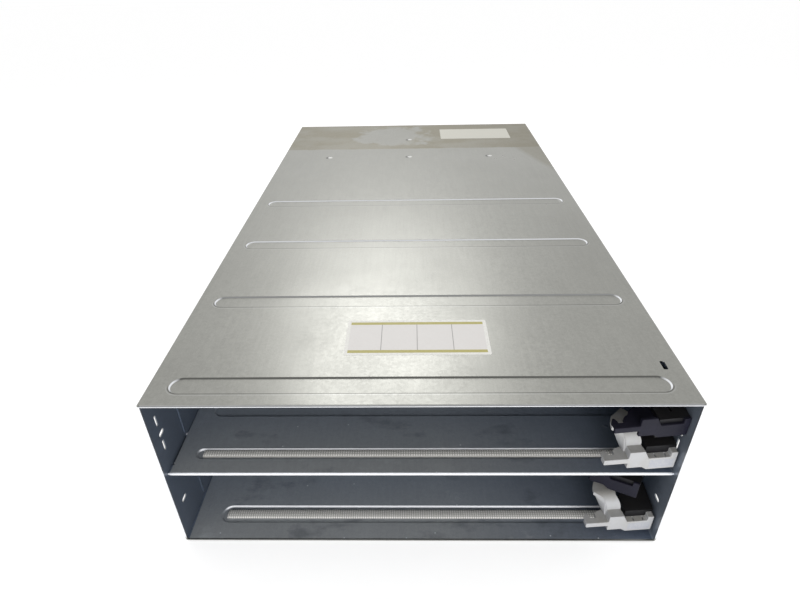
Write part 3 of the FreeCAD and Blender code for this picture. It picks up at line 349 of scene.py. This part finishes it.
def bead_marks(tree, looks, spot, lean):
    """Coats on the cover's beads, each a share and a colour. The long flanks of the front bead get painted
    shade, their ends get a painted highlight, and on the rear beads the flanks turn mostly to that highlight."""
    node = functools.partial(add, tree)
    x, y, z = node("SeparateXYZ", (spot,)).node.outputs
    lean_x = node("SeparateXYZ", (lean,), "X")
    lean_z = node("SeparateXYZ", (lean,), "Z")
    off_x = node("Math", (x,), operation="ABSOLUTE")
    along = node("Math", (y, -FRONT - BEAD_FIRST), operation="ADD")
    low, high = TOP - BEAD_DEPTH + 0.05 * MM, TOP - 0.25 * MM
    flank = region(tree, (z, low, low + 0.1 * MM, 0, 0.8), (z, high, high + 0.15 * MM, 1, 0),
                   (off_x, SIDE - 0.9 * MM, SIDE - 0.5 * MM, 1, 0))
    ends = node("MapRange", (node("Math", (lean_x,), operation="ABSOLUTE"), 0.25, 0.6, 0, 1))
    rear_highlight = node("MapRange", (along, 0.8 * BEAD_PITCH, 1.8 * BEAD_PITCH, 0, 0.85))
    bright = node("Math", (ends, rear_highlight), operation="MAXIMUM")
    flank_colour = node("Mix", {SHARE: bright, UNDER: looks.painted_shade, OVER: looks.edge}, MIXED, data_type="RGBA")

    # A painted shade line and a faint painted highlight line run along the near side of each bead, where the
    # sheet starts to bend. The pattern repeats with the beads, and is stopped behind the last one
    rank = node("Math", (along, -BEAD_PITCH / 2, BEAD_PITCH / 2), operation="WRAP")
    past_end = node("Math", (off_x, BEAD_HALF_LENGTH - BEAD_HALF_WIDTH), operation="SUBTRACT")
    past_end = node("Math", (past_end, 0.0), operation="MAXIMUM")
    off_bead = node("CombineXYZ", (past_end, rank, 0.0))
    off_bead = node("VectorMath", (off_bead,), "Value", operation="LENGTH")
    near_side = region(tree, (rank, -4 * MM, 0.0, 1, 0), (along, 3.4 * BEAD_PITCH, 3.5 * BEAD_PITCH, 1, 0),
                       (z, TOP - 0.06 * MM, TOP - 0.04 * MM, 0, 1), (lean_z, 0.9, 0.95, 0, 1))
    rim = BEAD_HALF_WIDTH
    dark_line = region(tree, (off_bead, rim - 0.2 * MM, rim, 0, 0.6),
                       (off_bead, rim + 0.7 * MM, rim + 1.2 * MM, 1, 0), near_side)
    bright_line = region(tree, (off_bead, rim + 1.1 * MM, rim + 1.4 * MM, 0, 0.08),
                         (off_bead, rim + 2.0 * MM, rim + 2.6 * MM, 1, 0), near_side)
    return (flank, flank_colour), (dark_line, looks.painted_shade), (bright_line, looks.edge)


def rivet_shade(tree, spot):
    """Share of the painted shade beside the cover's rivets, standing in for their dimples' shading, and lying
    mostly to their left.
    """
    shade_shift_x, shade_shift_y = -2.2, -0.5
    nearest = 1.0
    for rivet_x, rivet_y in RIVETS:
        middle = ((rivet_x + shade_shift_x) * MM, (rivet_y + shade_shift_y) * MM, TOP)
        away = add(tree, "VectorMath", (spot, middle), "Value", operation="DISTANCE")
        nearest = add(tree, "Math", (nearest, away), operation="MINIMUM")
    return add(tree, "MapRange", (nearest, 4.5 * MM, 6.0 * MM, 0.8, 0))


def make_zinc(settings):
    """Zinc-coated cold-rolled steel sheet, skin-passed. Its crystals are small and low in contrast, so it
    looks satin, with faint rolling streaks. Inside the bays it gets a blue-grey painted shade and reflection,
    and outside it has painted shade and highlights along its beads, painted shade by its rivets, and a dull
    band at the rear where something was stuck on it."""
    looks, sheet = settings.finish, settings.sheet
    made, tree = new_tree("zinc_coated_sheet_steel")
    node = functools.partial(add, tree)
    spot = node("TexCoord", output="Object")
    x, y, z = node("SeparateXYZ", (spot,)).node.outputs
    lean = node("NewGeometry", output="Normal")
    lean_z = node("SeparateXYZ", (lean,), "Z")
    off_x = node("Math", (x,), operation="ABSOLUTE")

    # Crystals, rolling streaks, grain and clouds
    cells = node("TexVoronoi", {"Vector": spot, "Scale": 1 / sheet.spangle}, "Color")
    crystal = node("SeparateColor", (cells,))
    rolled = node("Mapping", {"Vector": spot, "Scale": (1 / sheet.roll_width, 1 / sheet.roll_length,
                                                        1 / sheet.roll_width)})
    streak = node("TexNoise", {"Vector": rolled, "Scale": 1.0, "Detail": 4.0, "Roughness": 0.6})
    grain = node("TexNoise", {"Vector": spot, "Scale": 1 / sheet.grain, "Detail": 2.0})
    cloud = node("TexNoise", {"Vector": spot, "Scale": 1 / sheet.cloud, "Detail": 5.0, "Roughness": 0.55})
    ragged = node("TexNoise", {"Vector": spot, "Scale": 1 / sheet.ragged, "Detail": 4.0, "Roughness": 0.6})

    # Inside of the chassis: below the cover's beads, between the walls, behind the folded front edges, and
    # not the underside of the floor. Its beads reach below the floor's own underside, so the height counts
    # as lower on faces that look down and as higher on those that look up
    not_under = node("Math", (lean_z, 3 * MM, z), operation="MULTIPLY_ADD")
    low, high = TOP - 1.9 * MM, TOP - 1.6 * MM
    inside = region(tree, (z, low, high, 1, 0), (off_x, SIDE - 0.9 * MM, SIDE - 0.5 * MM, 1, 0),
                    (y, FRONT + 1.0 * MM, FRONT + 1.8 * MM, 0, 1), (not_under, 0.6 * MM, 1.2 * MM, 0, 1))
    outside = node("MapRange", (z, low, high, 0, 1))
    level = node("MapRange", (lean_z, 0.8, 0.9, 0, 1))

    # Painted highlight on the folded front edges, brightest on the cover and the shelf's nose and dull below
    rim = region(tree, (y, FRONT + 0.5 * MM, FRONT + 0.9 * MM, 1, 0), (z, 4 * MM, 8 * MM, 0.1, 1))
    nose = region(tree, (y, FRONT + 6.9 * MM, FRONT + 7.4 * MM, 1, 0),
                  (z, SHELF - 3.6 * MM, SHELF - 3.2 * MM, 0, 1),
                  (z, SHELF + 0.1 * MM, SHELF + 0.4 * MM, 1, 0),
                  (off_x, SIDE - 2.8 * MM, SIDE - 2.4 * MM, 1, 0))
    rim = node("Math", (rim, nose), operation="MAXIMUM")
    dull = node("Math", (inside, rim), operation="SUBTRACT", use_clamp=True)

    # Marks near the bays' mouths, and a few pale specks of packing dust
    oil, scuff = finger_marks(tree, sheet, spot, region(
        tree, inside, (y, FRONT + 40 * MM, FRONT + 170 * MM, 1, 0.15), level))
    grit = node("TexVoronoi", {"Vector": spot, "Scale": 1 / sheet.dust}, voronoi_dimensions="2D").node.outputs
    picked = node("SeparateColor", (grit["Color"],), "Green")
    speck = region(tree, (grit["Distance"], 0.5 * MM / sheet.dust, 0.8 * MM / sheet.dust, 1, 0),
                   (picked, 0.72, 0.74, 0, 1), dull, level)

    tone = 1.0
    for limit in ((crystal, 0, 1, -0.035, 0.035), (streak, 0.3, 0.7, -0.03, 0.03),
                  (grain, 0.3, 0.7, -0.04, 0.04), (cloud, 0.35, 0.68, 0.03, -0.05)):
        tone = node("Math", (tone, node("MapRange", limit)), operation="ADD")
    base = looks.zinc
    # Painted blue-grey shade inside the bays, and a painted highlight on the folded front edges
    for share, coat in ((inside, bay_shading_and_marks(tree, looks, spot, lean, oil, scuff)), (rim, looks.edge)):
        base = node("Mix", {SHARE: share, UNDER: base, OVER: coat}, MIXED, data_type="RGBA")
    base = node("VectorMath", (base, tone), operation="MULTIPLY")
    band = region(tree, dull_band(tree, sheet, spot, ragged), outside)
    # Over them: the rear stain, painted shade and highlights on the beads, painted shade beside the rivets,
    # and dust specks
    for share, coat in ((region(tree, band, 0.75), looks.stain), *bead_marks(tree, looks, spot, lean),
                        (rivet_shade(tree, spot), looks.painted_shade), (speck, looks.dust)):
        base = node("Mix", {SHARE: share, UNDER: base, OVER: coat}, MIXED, data_type="RGBA")

    rough = 0.0
    for limit in ((crystal, 0, 1, 0.30, 0.37), (cloud, 0.3, 0.7, -0.03, 0.05), (oil, 0, 1, 0, 0.08),
                  (band, 0, 1, 0, 0.18)):
        rough = node("Math", (rough, node("MapRange", limit)), operation="ADD")
    # The coat inside the bays is dull, and the folded edges that carry the painted highlight are less
    # metallic, so less of the metal shows there
    metallic = region(tree, (dull, 0, 1, 1.0, 0.3), (rim, 0, 1, 1.0, 0.5))
    relief = node("Math", (node("MapRange", (grain, 0, 1, 0, 0.6)), node("MapRange", (streak, 0, 1, 0, 0.4))),
                  operation="ADD")
    bump = node("Bump", {"Height": relief, "Strength": 0.10, "Distance": 0.05 * MM})
    shader = node("BsdfPrincipled", {"Base Color": base, "Metallic": metallic, "Roughness": rough,
                                     "Normal": bump})
    node("OutputMaterial", (shader,))
    return made


def make_steel(settings):
    """Plain bright steel, turned and tumbled: smooth and mirror-like, with fine dull scratches."""
    looks = settings.finish
    made, tree = new_tree("bright_steel_fasteners")
    node = functools.partial(add, tree)
    spot = node("TexCoord", output="Object")
    scratch_width, scratch_length, haze_size = 0.2 * MM, 1.4 * MM, 3.8 * MM
    scratch_place = node("Mapping", {"Vector": spot, "Scale": (1 / scratch_length, 1 / scratch_width,
                                                               1 / scratch_length)})
    scratch = node("TexNoise", {"Vector": scratch_place, "Scale": 1.0, "Detail": 3.0})
    haze = node("TexNoise", {"Vector": spot, "Scale": 1 / haze_size, "Detail": 3.0})
    share = node("MapRange", (scratch, 0.35, 0.65, 0, 1))
    base = node("Mix", {SHARE: share, UNDER: looks.steel, OVER: looks.scratched}, MIXED, data_type="RGBA")
    bump = node("Bump", {"Height": scratch, "Strength": 0.15, "Distance": 0.03 * MM})
    shader = node("BsdfPrincipled", {"Base Color": base, "Metallic": 1.0, "Normal": bump,
                                     "Roughness": node("MapRange", (haze, 0.3, 0.7, 0.26, 0.40))})
    node("OutputMaterial", (shader,))
    return made


def make_plastic(settings, name, fresh, worn, grain, rough, dust_and_shade_share, ior=1.5):
    """Moulded polycarbonate blend with spark-eroded grain. Handling leaves soft clouds, the grain gives a
    fine broken gloss, and level faces get a dark brownish colour, partly settled dust and partly painted
    shade."""
    made, tree = new_tree(name)
    node = functools.partial(add, tree)
    spot = node("TexCoord", output="Object")
    cloud_size = 17 * MM
    cloud = node("TexNoise", {"Vector": spot, "Scale": 1 / cloud_size, "Detail": 4.0, "Roughness": 0.6})
    pitted = node("TexNoise", {"Vector": spot, "Scale": 1 / grain, "Detail": 2.0})
    lean = node("SeparateXYZ", (node("NewGeometry", output="Normal"),), "Z")
    # Level faces get a dark brownish colour that is partly settled dust and partly painted shade
    dust = region(tree, (lean, 0.55, 0.95, 0, dust_and_shade_share), (cloud, 0.3, 0.6, 0.6, 0.9))
    base = fresh
    for share, coat in ((node("MapRange", (cloud, 0.45, 0.75, 0, 0.55)), worn),
                        (node("MapRange", (pitted, 0.55, 0.75, 0, 0.25)), worn),
                        (dust, settings.finish.level_dust_and_shade)):
        base = node("Mix", {SHARE: share, UNDER: base, OVER: coat}, MIXED, data_type="RGBA")
    bump = node("Bump", {"Height": pitted, "Strength": 0.25, "Distance": 0.06 * MM})
    gloss = node("MapRange", (pitted, 0.3, 0.7, rough - 0.06, rough + 0.08))
    shader = node("BsdfPrincipled", {"Base Color": base, "IOR": ior, "Normal": bump, "Roughness": gloss})
    node("OutputMaterial", (shader,))
    return made


def make_cloth(settings):
    """Metallised woven polyester over foam. Silver-beige threads cross, with a soft metallic sheen and
    darker gaps. The real threads are finer, and are drawn coarse enough to show."""
    looks, strip = settings.finish, settings.strip
    made, tree = new_tree("metallised_woven_cloth")
    node = functools.partial(add, tree)
    spot = node("TexCoord", output="Object")
    # A wave node repeats every pi / 10 of its scaled length
    repeat = math.pi / 10 / strip.thread
    waves = {"Vector": spot, "Scale": repeat, "Distortion": 0.5, "Detail": 1.0}
    across = node("TexWave", waves, "Fac", wave_type="BANDS", bands_direction="X")
    along = node("TexWave", waves, "Fac", wave_type="BANDS", bands_direction="Y")
    threads = node("MapRange", (node("Math", (across, along), operation="MULTIPLY"), 0, 0.5, 0, 0.75))
    fibre = node("TexNoise", {"Vector": spot, "Scale": 1 / strip.fibre, "Detail": 2.0})
    weave = node("Math", (threads, node("MapRange", (fibre, 0.3, 0.7, 0, 0.25))), operation="ADD")
    base = node("Mix", {SHARE: weave, UNDER: looks.cloth_dark, OVER: looks.cloth_light}, MIXED,
                data_type="RGBA")
    bump = node("Bump", {"Height": weave, "Strength": 0.6, "Distance": 0.15 * MM})
    gloss = node("MapRange", (weave, 0, 1, 0.8, 0.55))
    shader = node("BsdfPrincipled", {"Base Color": base, "Metallic": 0.3, "Roughness": gloss,
                                     "Sheen Weight": 0.25, "Normal": bump})
    node("OutputMaterial", (shader,))
    return made


def make_board(settings):
    """Glass-epoxy laminate under green solder mask: smooth and slightly glossy, with fine copper tracks
    showing through as a paler green."""
    looks = settings.finish
    made, tree = new_tree("solder_masked_laminate")
    node = functools.partial(add, tree)
    spot = node("TexCoord", output="Object")
    track_length, haze_size = 11 * MM, 5 * MM
    tracks = node("TexBrick", {"Vector": spot, "Scale": 1 / track_length, "Mortar Size": 0.03}, "Fac")
    haze = node("TexNoise", {"Vector": spot, "Scale": 1 / haze_size, "Detail": 3.0})
    share = node("MapRange", (tracks, 0, 1, 0, 0.5))
    base = node("Mix", {SHARE: share, UNDER: looks.board, OVER: looks.board_track}, MIXED, data_type="RGBA")
    shader = node("BsdfPrincipled", {"Base Color": base, "IOR": 1.5,
                                     "Roughness": node("MapRange", (haze, 0.3, 0.7, 0.28, 0.38))})
    node("OutputMaterial", (shader,))
    return made


def panel_coats(tree, looks, spot, outline, panels):
    """Coats on a label with empty panels, each a share and a colour: the panels, a plain band above and
    below them, and thin lines between them."""
    node = functools.partial(add, tree)
    low, high = outline
    half_x, half_y = (high.x - low.x) / 2, (high.y - low.y) / 2
    border, band, soft = 3.0 * MM, 4.0 * MM, 0.2 * MM
    line_half_width = 0.25 * MM
    to_middle = (-(low.x + high.x) / 2, -(low.y + high.y) / 2, 0.0)
    on_label = node("Mapping", {"Vector": spot, "Location": to_middle})
    x, y = node("SeparateXYZ", (on_label,)).node.outputs[:2]
    off_x = node("Math", (x,), operation="ABSOLUTE")
    off_y = node("Math", (y,), operation="ABSOLUTE")
    within = region(tree, (off_x, half_x - border - soft, half_x - border, 1, 0),
                    (off_y, half_y - border - soft, half_y - border, 1, 0))
    inner_y = half_y - border - band
    bands = region(tree, within, (off_y, inner_y - soft, inner_y, 0, 1))
    from_left = node("Math", (x, half_x), operation="ADD")
    from_line = node("Math", (from_left, half_x / panels), operation="PINGPONG")
    lines = region(tree, (from_line, line_half_width, line_half_width + 0.15 * MM, 0.7, 0),
                   (off_y, inner_y - soft, inner_y, 1, 0),
                   (off_x, half_x - 2 * border - soft, half_x - 2 * border, 1, 0))
    return (within, looks.film_panel), (bands, looks.film_band), (lines, looks.film_line)


def make_film(settings, name, film, outline=None, panels=0):
    """Printed polyester film, matt with faint flecks. It is bare where the real one has words."""
    looks = settings.finish
    made, tree = new_tree(name)
    node = functools.partial(add, tree)
    spot = node("TexCoord", output="Object")
    fleck_size = 1.4 * MM
    fleck = node("TexNoise", {"Vector": spot, "Scale": 1 / fleck_size, "Detail": 2.0})
    coats = panel_coats(tree, looks, spot, outline, panels) if panels else ()
    base = film
    for share, coat in ((node("MapRange", (fleck, 0.4, 0.7, 0, 0.4)), looks.film_speck), *coats):
        base = node("Mix", {SHARE: share, UNDER: base, OVER: coat}, MIXED, data_type="RGBA")
    shader = node("BsdfPrincipled", {"Base Color": base, "IOR": 1.5,
                                     "Roughness": node("MapRange", (fleck, 0.3, 0.7, 0.42, 0.56))})
    node("OutputMaterial", (shader,))
    return made


class CHASSIS_OT_sheets(bpy.types.Operator):
    """Finish the zinc-coated sheets: tray, cover, shelves, guides, bulkhead and divider"""
    bl_idname = "chassis.sheets"
    bl_label = "Zinc sheets"

    def execute(self, context):
        zinc = make_zinc(context.scene.chassis)
        dress(zinc, "base_tray", "top_cover", "mid_shelf", "midplane_bulkhead", "rear_divider",
              "rear_left_shelf", "rear_right_shelf", "lower_right_guide", "lower_left_guide",
              "upper_right_guide", "upper_left_guide")
        return {"FINISHED"}


class CHASSIS_OT_fasteners(bpy.types.Operator):
    """Finish the rivets, screws, spacers, guide pins and pivot pins"""
    bl_idname = "chassis.fasteners"
    bl_label = "Fasteners"

    def execute(self, context):
        steel = make_steel(context.scene.chassis)
        dress(steel, "cover_rivets", "cover_screws", "shelf_rivets", "hinge_rivets", "board_spacers",
              "board_screws", "lower_guide_pins", "upper_guide_pins", "lower_pivot_pin", "upper_pivot_pin")
        return {"FINISHED"}


class CHASSIS_OT_board(bpy.types.Operator):
    """Finish the midplane board and its connectors"""
    bl_idname = "chassis.board"
    bl_label = "Midplane board"

    def execute(self, context):
        settings = context.scene.chassis
        looks = settings.finish
        dress(make_board(settings), "midplane_board")
        housing = make_plastic(settings, "moulded_connector_housing", looks.connector, looks.connector_worn,
                               grain=0.5 * MM, rough=0.45, dust_and_shade_share=0.06)
        dress(housing, "lower_board_connectors", "upper_board_connectors", "rear_board_connectors")
        return {"FINISHED"}


class CHASSIS_OT_arms(bpy.types.Operator):
    """Finish the swing arms and their hinge brackets"""
    bl_idname = "chassis.arms"
    bl_label = "Swing arms"

    def execute(self, context):
        settings = context.scene.chassis
        looks = settings.finish
        # The light arms' level faces take the most dust and painted shade
        light = make_plastic(settings, "light_grey_moulded_arm", looks.light_plastic, looks.light_worn,
                             grain=0.6 * MM, rough=0.46, dust_and_shade_share=0.6)
        dark = make_plastic(settings, "charcoal_moulded_arm", looks.dark_plastic, looks.dark_worn,
                            grain=0.6 * MM, rough=0.6, dust_and_shade_share=0.03, ior=1.38)
        black = make_plastic(settings, "black_moulded_carrier", looks.black_plastic, looks.black_worn,
                             grain=0.6 * MM, rough=0.5, dust_and_shade_share=0.05, ior=1.42)
        for bay in BAY_FLOORS:
            dress(light, bay + "_hook_arm_front")
            dress(dark, bay + "_latch_arm_front")
            dress(black, bay + "_hook_arm_carrier", bay + "_latch_arm_carrier", bay + "_hinge_bracket")
        return {"FINISHED"}


class CHASSIS_OT_labels(bpy.types.Operator):
    """Finish the two labels on the cover, and put a bare sticker on each hook arm"""
    bl_idname = "chassis.labels"
    bl_label = "Labels and stickers"

    def execute(self, context):
        settings = context.scene.chassis
        looks, sizes = settings.finish, settings.sticker
        front = make_film(settings, "printed_front_label_film", looks.film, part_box("front_label"), panels=4)
        dress(front, "front_label")
        dress(make_film(settings, "bare_rear_label_film", looks.old_film), "rear_label")
        bare = make_film(settings, "bare_sticker_film", looks.sticker)
        for bay, floor in BAY_FLOORS.items():
            low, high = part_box(bay + "_pivot_pin")
            mesh = bmesh.new()
            bmesh.ops.create_cube(mesh, size=1.0)
            bmesh.ops.scale(mesh, vec=(sizes.size, sizes.film, sizes.width), verts=mesh.verts)
            corners = [e for e in mesh.edges if abs(e.verts[0].co.y - e.verts[1].co.y) > sizes.film / 2]
            bmesh.ops.bevel(mesh, geom=corners, offset=sizes.corner, offset_type="OFFSET", segments=4,
                            profile=0.5, affect="EDGES", clamp_overlap=True, material=-1)
            middle = (sizes.across, sizes.face - sizes.film / 2, sizes.rise)
            bmesh.ops.translate(mesh, vec=middle, verts=mesh.verts)
            # Moved to the bay's pivot and turned as the arm is
            stand = Matrix.Translation(((low.x + high.x) / 2, (low.y + high.y) / 2, floor))
            stand @= Matrix.Rotation(HOOK_TURN[bay], 4, "Z")
            bmesh.ops.transform(mesh, matrix=stand, verts=mesh.verts)
            finish_piece(mesh, bay + "_arm_sticker", bare, bay + "_hook_arm")
        return {"FINISHED"}


class CHASSIS_OT_strips(bpy.types.Operator):
    """Build the cloth-over-foam contact strips in the front beads"""
    bl_idname = "chassis.strips"
    bl_label = "Contact strips"

    def execute(self, context):
        settings = context.scene.chassis
        cloth = make_cloth(settings)
        for name in ("shelf_contact_strip", "floor_contact_strip"):
            piece = finish_piece(self.strip(*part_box(name), settings.strip), "woven_" + name, cloth,
                                 "chassis")
            for face in piece.data.polygons:
                face.use_smooth = len(face.vertices) == 4
            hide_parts(name)
        return {"FINISHED"}

    @staticmethod
    def strip(low, high, sizes):
        """A squared oval, flat below and rounded above, drawn out along X with a rib at every thread."""
        width, height = high.y - low.y, high.z - low.z
        half_height = (height - sizes.crown) / 2
        squareness, flatness, end_taper = 0.7, 0.2, 0.86
        mesh = bmesh.new()
        bmesh.ops.create_circle(mesh, segments=20, radius=1.0)
        for vert in mesh.verts:
            across = math.copysign(abs(vert.co.x) ** squareness, vert.co.x)
            up = math.copysign(abs(vert.co.y) ** (squareness if vert.co.y > 0 else flatness), vert.co.y)
            # The foam lifts the middle
            lift = sizes.crown * (1 - across * across) if up > 0 else 0.0
            vert.co = Vector((0.0, across * width / 2, up * half_height + lift))
        # Two sections to a thread, of which every other one is pulled in
        steps = int((high.x - low.x) / sizes.thread) * 2
        pitch = (high.x - low.x) / steps
        bmesh.ops.spin(mesh, geom=mesh.edges[:] + mesh.verts[:], cent=(0, 0, 0), axis=(1, 0, 0),
                       dvec=(pitch, 0, 0), angle=0.0, steps=steps, use_merge=False, use_duplicate=False)
        for vert in mesh.verts:
            section = round(vert.co.x / pitch)
            if section % 2 and vert.co.z > 0:
                vert.co.z -= sizes.rib
            if section in (0, steps):
                vert.co.z *= end_taper
        bmesh.ops.holes_fill(mesh, edges=mesh.edges, sides=24)
        bmesh.ops.translate(mesh, vec=(low.x, (low.y + high.y) / 2, low.z + half_height), verts=mesh.verts)
        return mesh


class CHASSIS_OT_stage(bpy.types.Operator):
    """Set up the floor, the lamps, the world and the camera"""
    bl_idname = "chassis.stage"
    bl_label = "Stage"

    def execute(self, context):
        settings = context.scene.chassis
        stage = settings.stage
        mesh = bmesh.new()
        bmesh.ops.create_grid(mesh, x_segments=1, y_segments=1, size=stage.floor_reach)
        data = bpy.data.meshes.new("floor")
        mesh.to_mesh(data)
        mesh.free()
        data.materials.append(self.floor_paint(settings.finish))
        floor = bpy.data.objects.new("floor", data)
        context.scene.collection.objects.link(floor)
        context.scene.world = bpy.data.worlds.new("plain_light")
        context.scene.world.use_nodes = True
        tree = context.scene.world.node_tree
        tree.nodes.clear()
        strength = add(tree, "MapRange", (self.seen(tree), 0, 1, stage.world, 1.0))
        back = add(tree, "Background", {"Color": (1, 1, 1, 1), "Strength": strength})
        add(tree, "OutputWorld", (back,))
        self.lamp(context, "ceiling_lamp", spot=(-0.10, 0.92, 1.17), aim=(-0.03, -0.33, 0.17), size=0.75,
                  power=stage.ceiling_power)
        front = self.lamp(context, "front_lamp", spot=(0.1, -1.75, 0.55), aim=(0.0, -0.38, 0.08), size=1.0,
                          power=stage.front_power)
        # Seen in the cover, this lamp would blow it out in views from the rear
        front.visible_glossy = False
        self.camera(context, stage)
        context.scene.view_settings.view_transform = "Standard"
        return {"FINISHED"}

    @staticmethod
    def seen(tree):
        """1 for rays from the camera, off shiny surfaces and through clear ones, else 0."""
        rays = add(tree, "LightPath").node.outputs
        seen = 0.0
        for kind in ("Is Camera Ray", "Is Glossy Ray", "Is Transmission Ray"):
            seen = add(tree, "Math", (seen, rays[kind]), operation="MAXIMUM")
        return seen

    @staticmethod
    def floor_paint(looks):
        """Plain pale floor paint, rolled on and matt, which seems to glow to the camera but keeps some of
        the object's shadow."""
        made, tree = new_tree("pale_floor_paint")
        roller_size = 33 * MM
        spot = add(tree, "TexCoord", output="Object")
        cloud = add(tree, "TexNoise", {"Vector": spot, "Scale": 1 / roller_size})
        base = add(tree, "Mix", {SHARE: cloud, UNDER: looks.floor_dark, OVER: looks.floor_light}, MIXED,
                   data_type="RGBA")
        glow = add(tree, "MapRange", (CHASSIS_OT_stage.seen(tree), 0, 1, 0.0, 0.4))
        shader = add(tree, "BsdfPrincipled", {"Base Color": base, "Roughness": 0.9, "Specular IOR Level": 0.1,
                                              "Emission Color": (1, 1, 1, 1), "Emission Strength": glow})
        add(tree, "OutputMaterial", (shader,))
        return made

    @staticmethod
    def lamp(context, name, spot, aim, size, power):
        """A soft round lamp at a spot, turned to what it is aimed at."""
        data = bpy.data.lights.new(name, "AREA")
        data.shape = "DISK"
        data.size = size
        data.energy = power
        lamp = bpy.data.objects.new(name, data)
        lamp.location = spot
        lamp.rotation_euler = (Vector(aim) - Vector(spot)).to_track_quat("-Z", "Y").to_euler()
        context.scene.collection.objects.link(lamp)
        return lamp

    @staticmethod
    def camera(context, stage):
        """The camera of the main view, from its place and its turns."""
        data = bpy.data.cameras.new("camera")
        data.sensor_width = 36.0
        data.lens = stage.lens
        data.clip_start, data.clip_end = 0.01, 50.0
        camera = bpy.data.objects.new("camera", data)
        context.scene.collection.objects.link(camera)
        yaw, pitch, roll = stage.yaw, stage.pitch, stage.roll
        ahead = Vector((math.sin(yaw) * math.cos(pitch), math.cos(yaw) * math.cos(pitch), -math.sin(pitch)))
        right = Vector((math.cos(yaw), -math.sin(yaw), 0.0))
        down = ahead.cross(right)
        turned_right = right * math.cos(roll) + down * math.sin(roll)
        turned_down = down * math.cos(roll) - right * math.sin(roll)
        turn = Matrix((turned_right, -turned_down, -ahead)).transposed()
        camera.matrix_world = Matrix.Translation(stage.place) @ turn.to_4x4()
        context.scene.camera = camera


class CHASSIS_PT_sidebar(bpy.types.Panel):
    """Lists the chassis settings and the steps that build its looks"""
    bl_idname = "CHASSIS_PT_sidebar"
    bl_label = "Chassis"
    bl_space_type = "VIEW_3D"
    bl_region_type = "UI"
    bl_category = "Chassis"

    def draw(self, context):
        settings = context.scene.chassis
        for name in ("finish", "sheet", "strip", "sticker", "stage"):
            box = self.layout.box()
            group = getattr(settings, name)
            box.label(text=name.capitalize())
            for field in group.__annotations__:
                box.prop(group, field)
        for operator in OPERATORS:
            self.layout.operator(operator.bl_idname)


OPERATORS = (CHASSIS_OT_stage, CHASSIS_OT_sheets, CHASSIS_OT_fasteners, CHASSIS_OT_board, CHASSIS_OT_arms,
             CHASSIS_OT_labels, CHASSIS_OT_strips)
CLASSES = (FinishSettings, SheetSettings, StripSettings, StickerSettings, StageSettings, ChassisSettings,
           *OPERATORS, CHASSIS_PT_sidebar)


def register():
    """Register the classes and hang the settings on the scene."""
    for cls in CLASSES:
        bpy.utils.register_class(cls)
    bpy.types.Scene.chassis = PointerProperty(type=ChassisSettings)


def unregister():
    """Take the settings and the classes away again."""
    del bpy.types.Scene.chassis
    for cls in reversed(CLASSES):
        bpy.utils.unregister_class(cls)


def main():
    register()
    bpy.ops.chassis.stage()
    bpy.ops.chassis.sheets()
    bpy.ops.chassis.fasteners()
    bpy.ops.chassis.board()
    bpy.ops.chassis.arms()
    bpy.ops.chassis.labels()
    bpy.ops.chassis.strips()


if __name__ == "__main__":
    main()
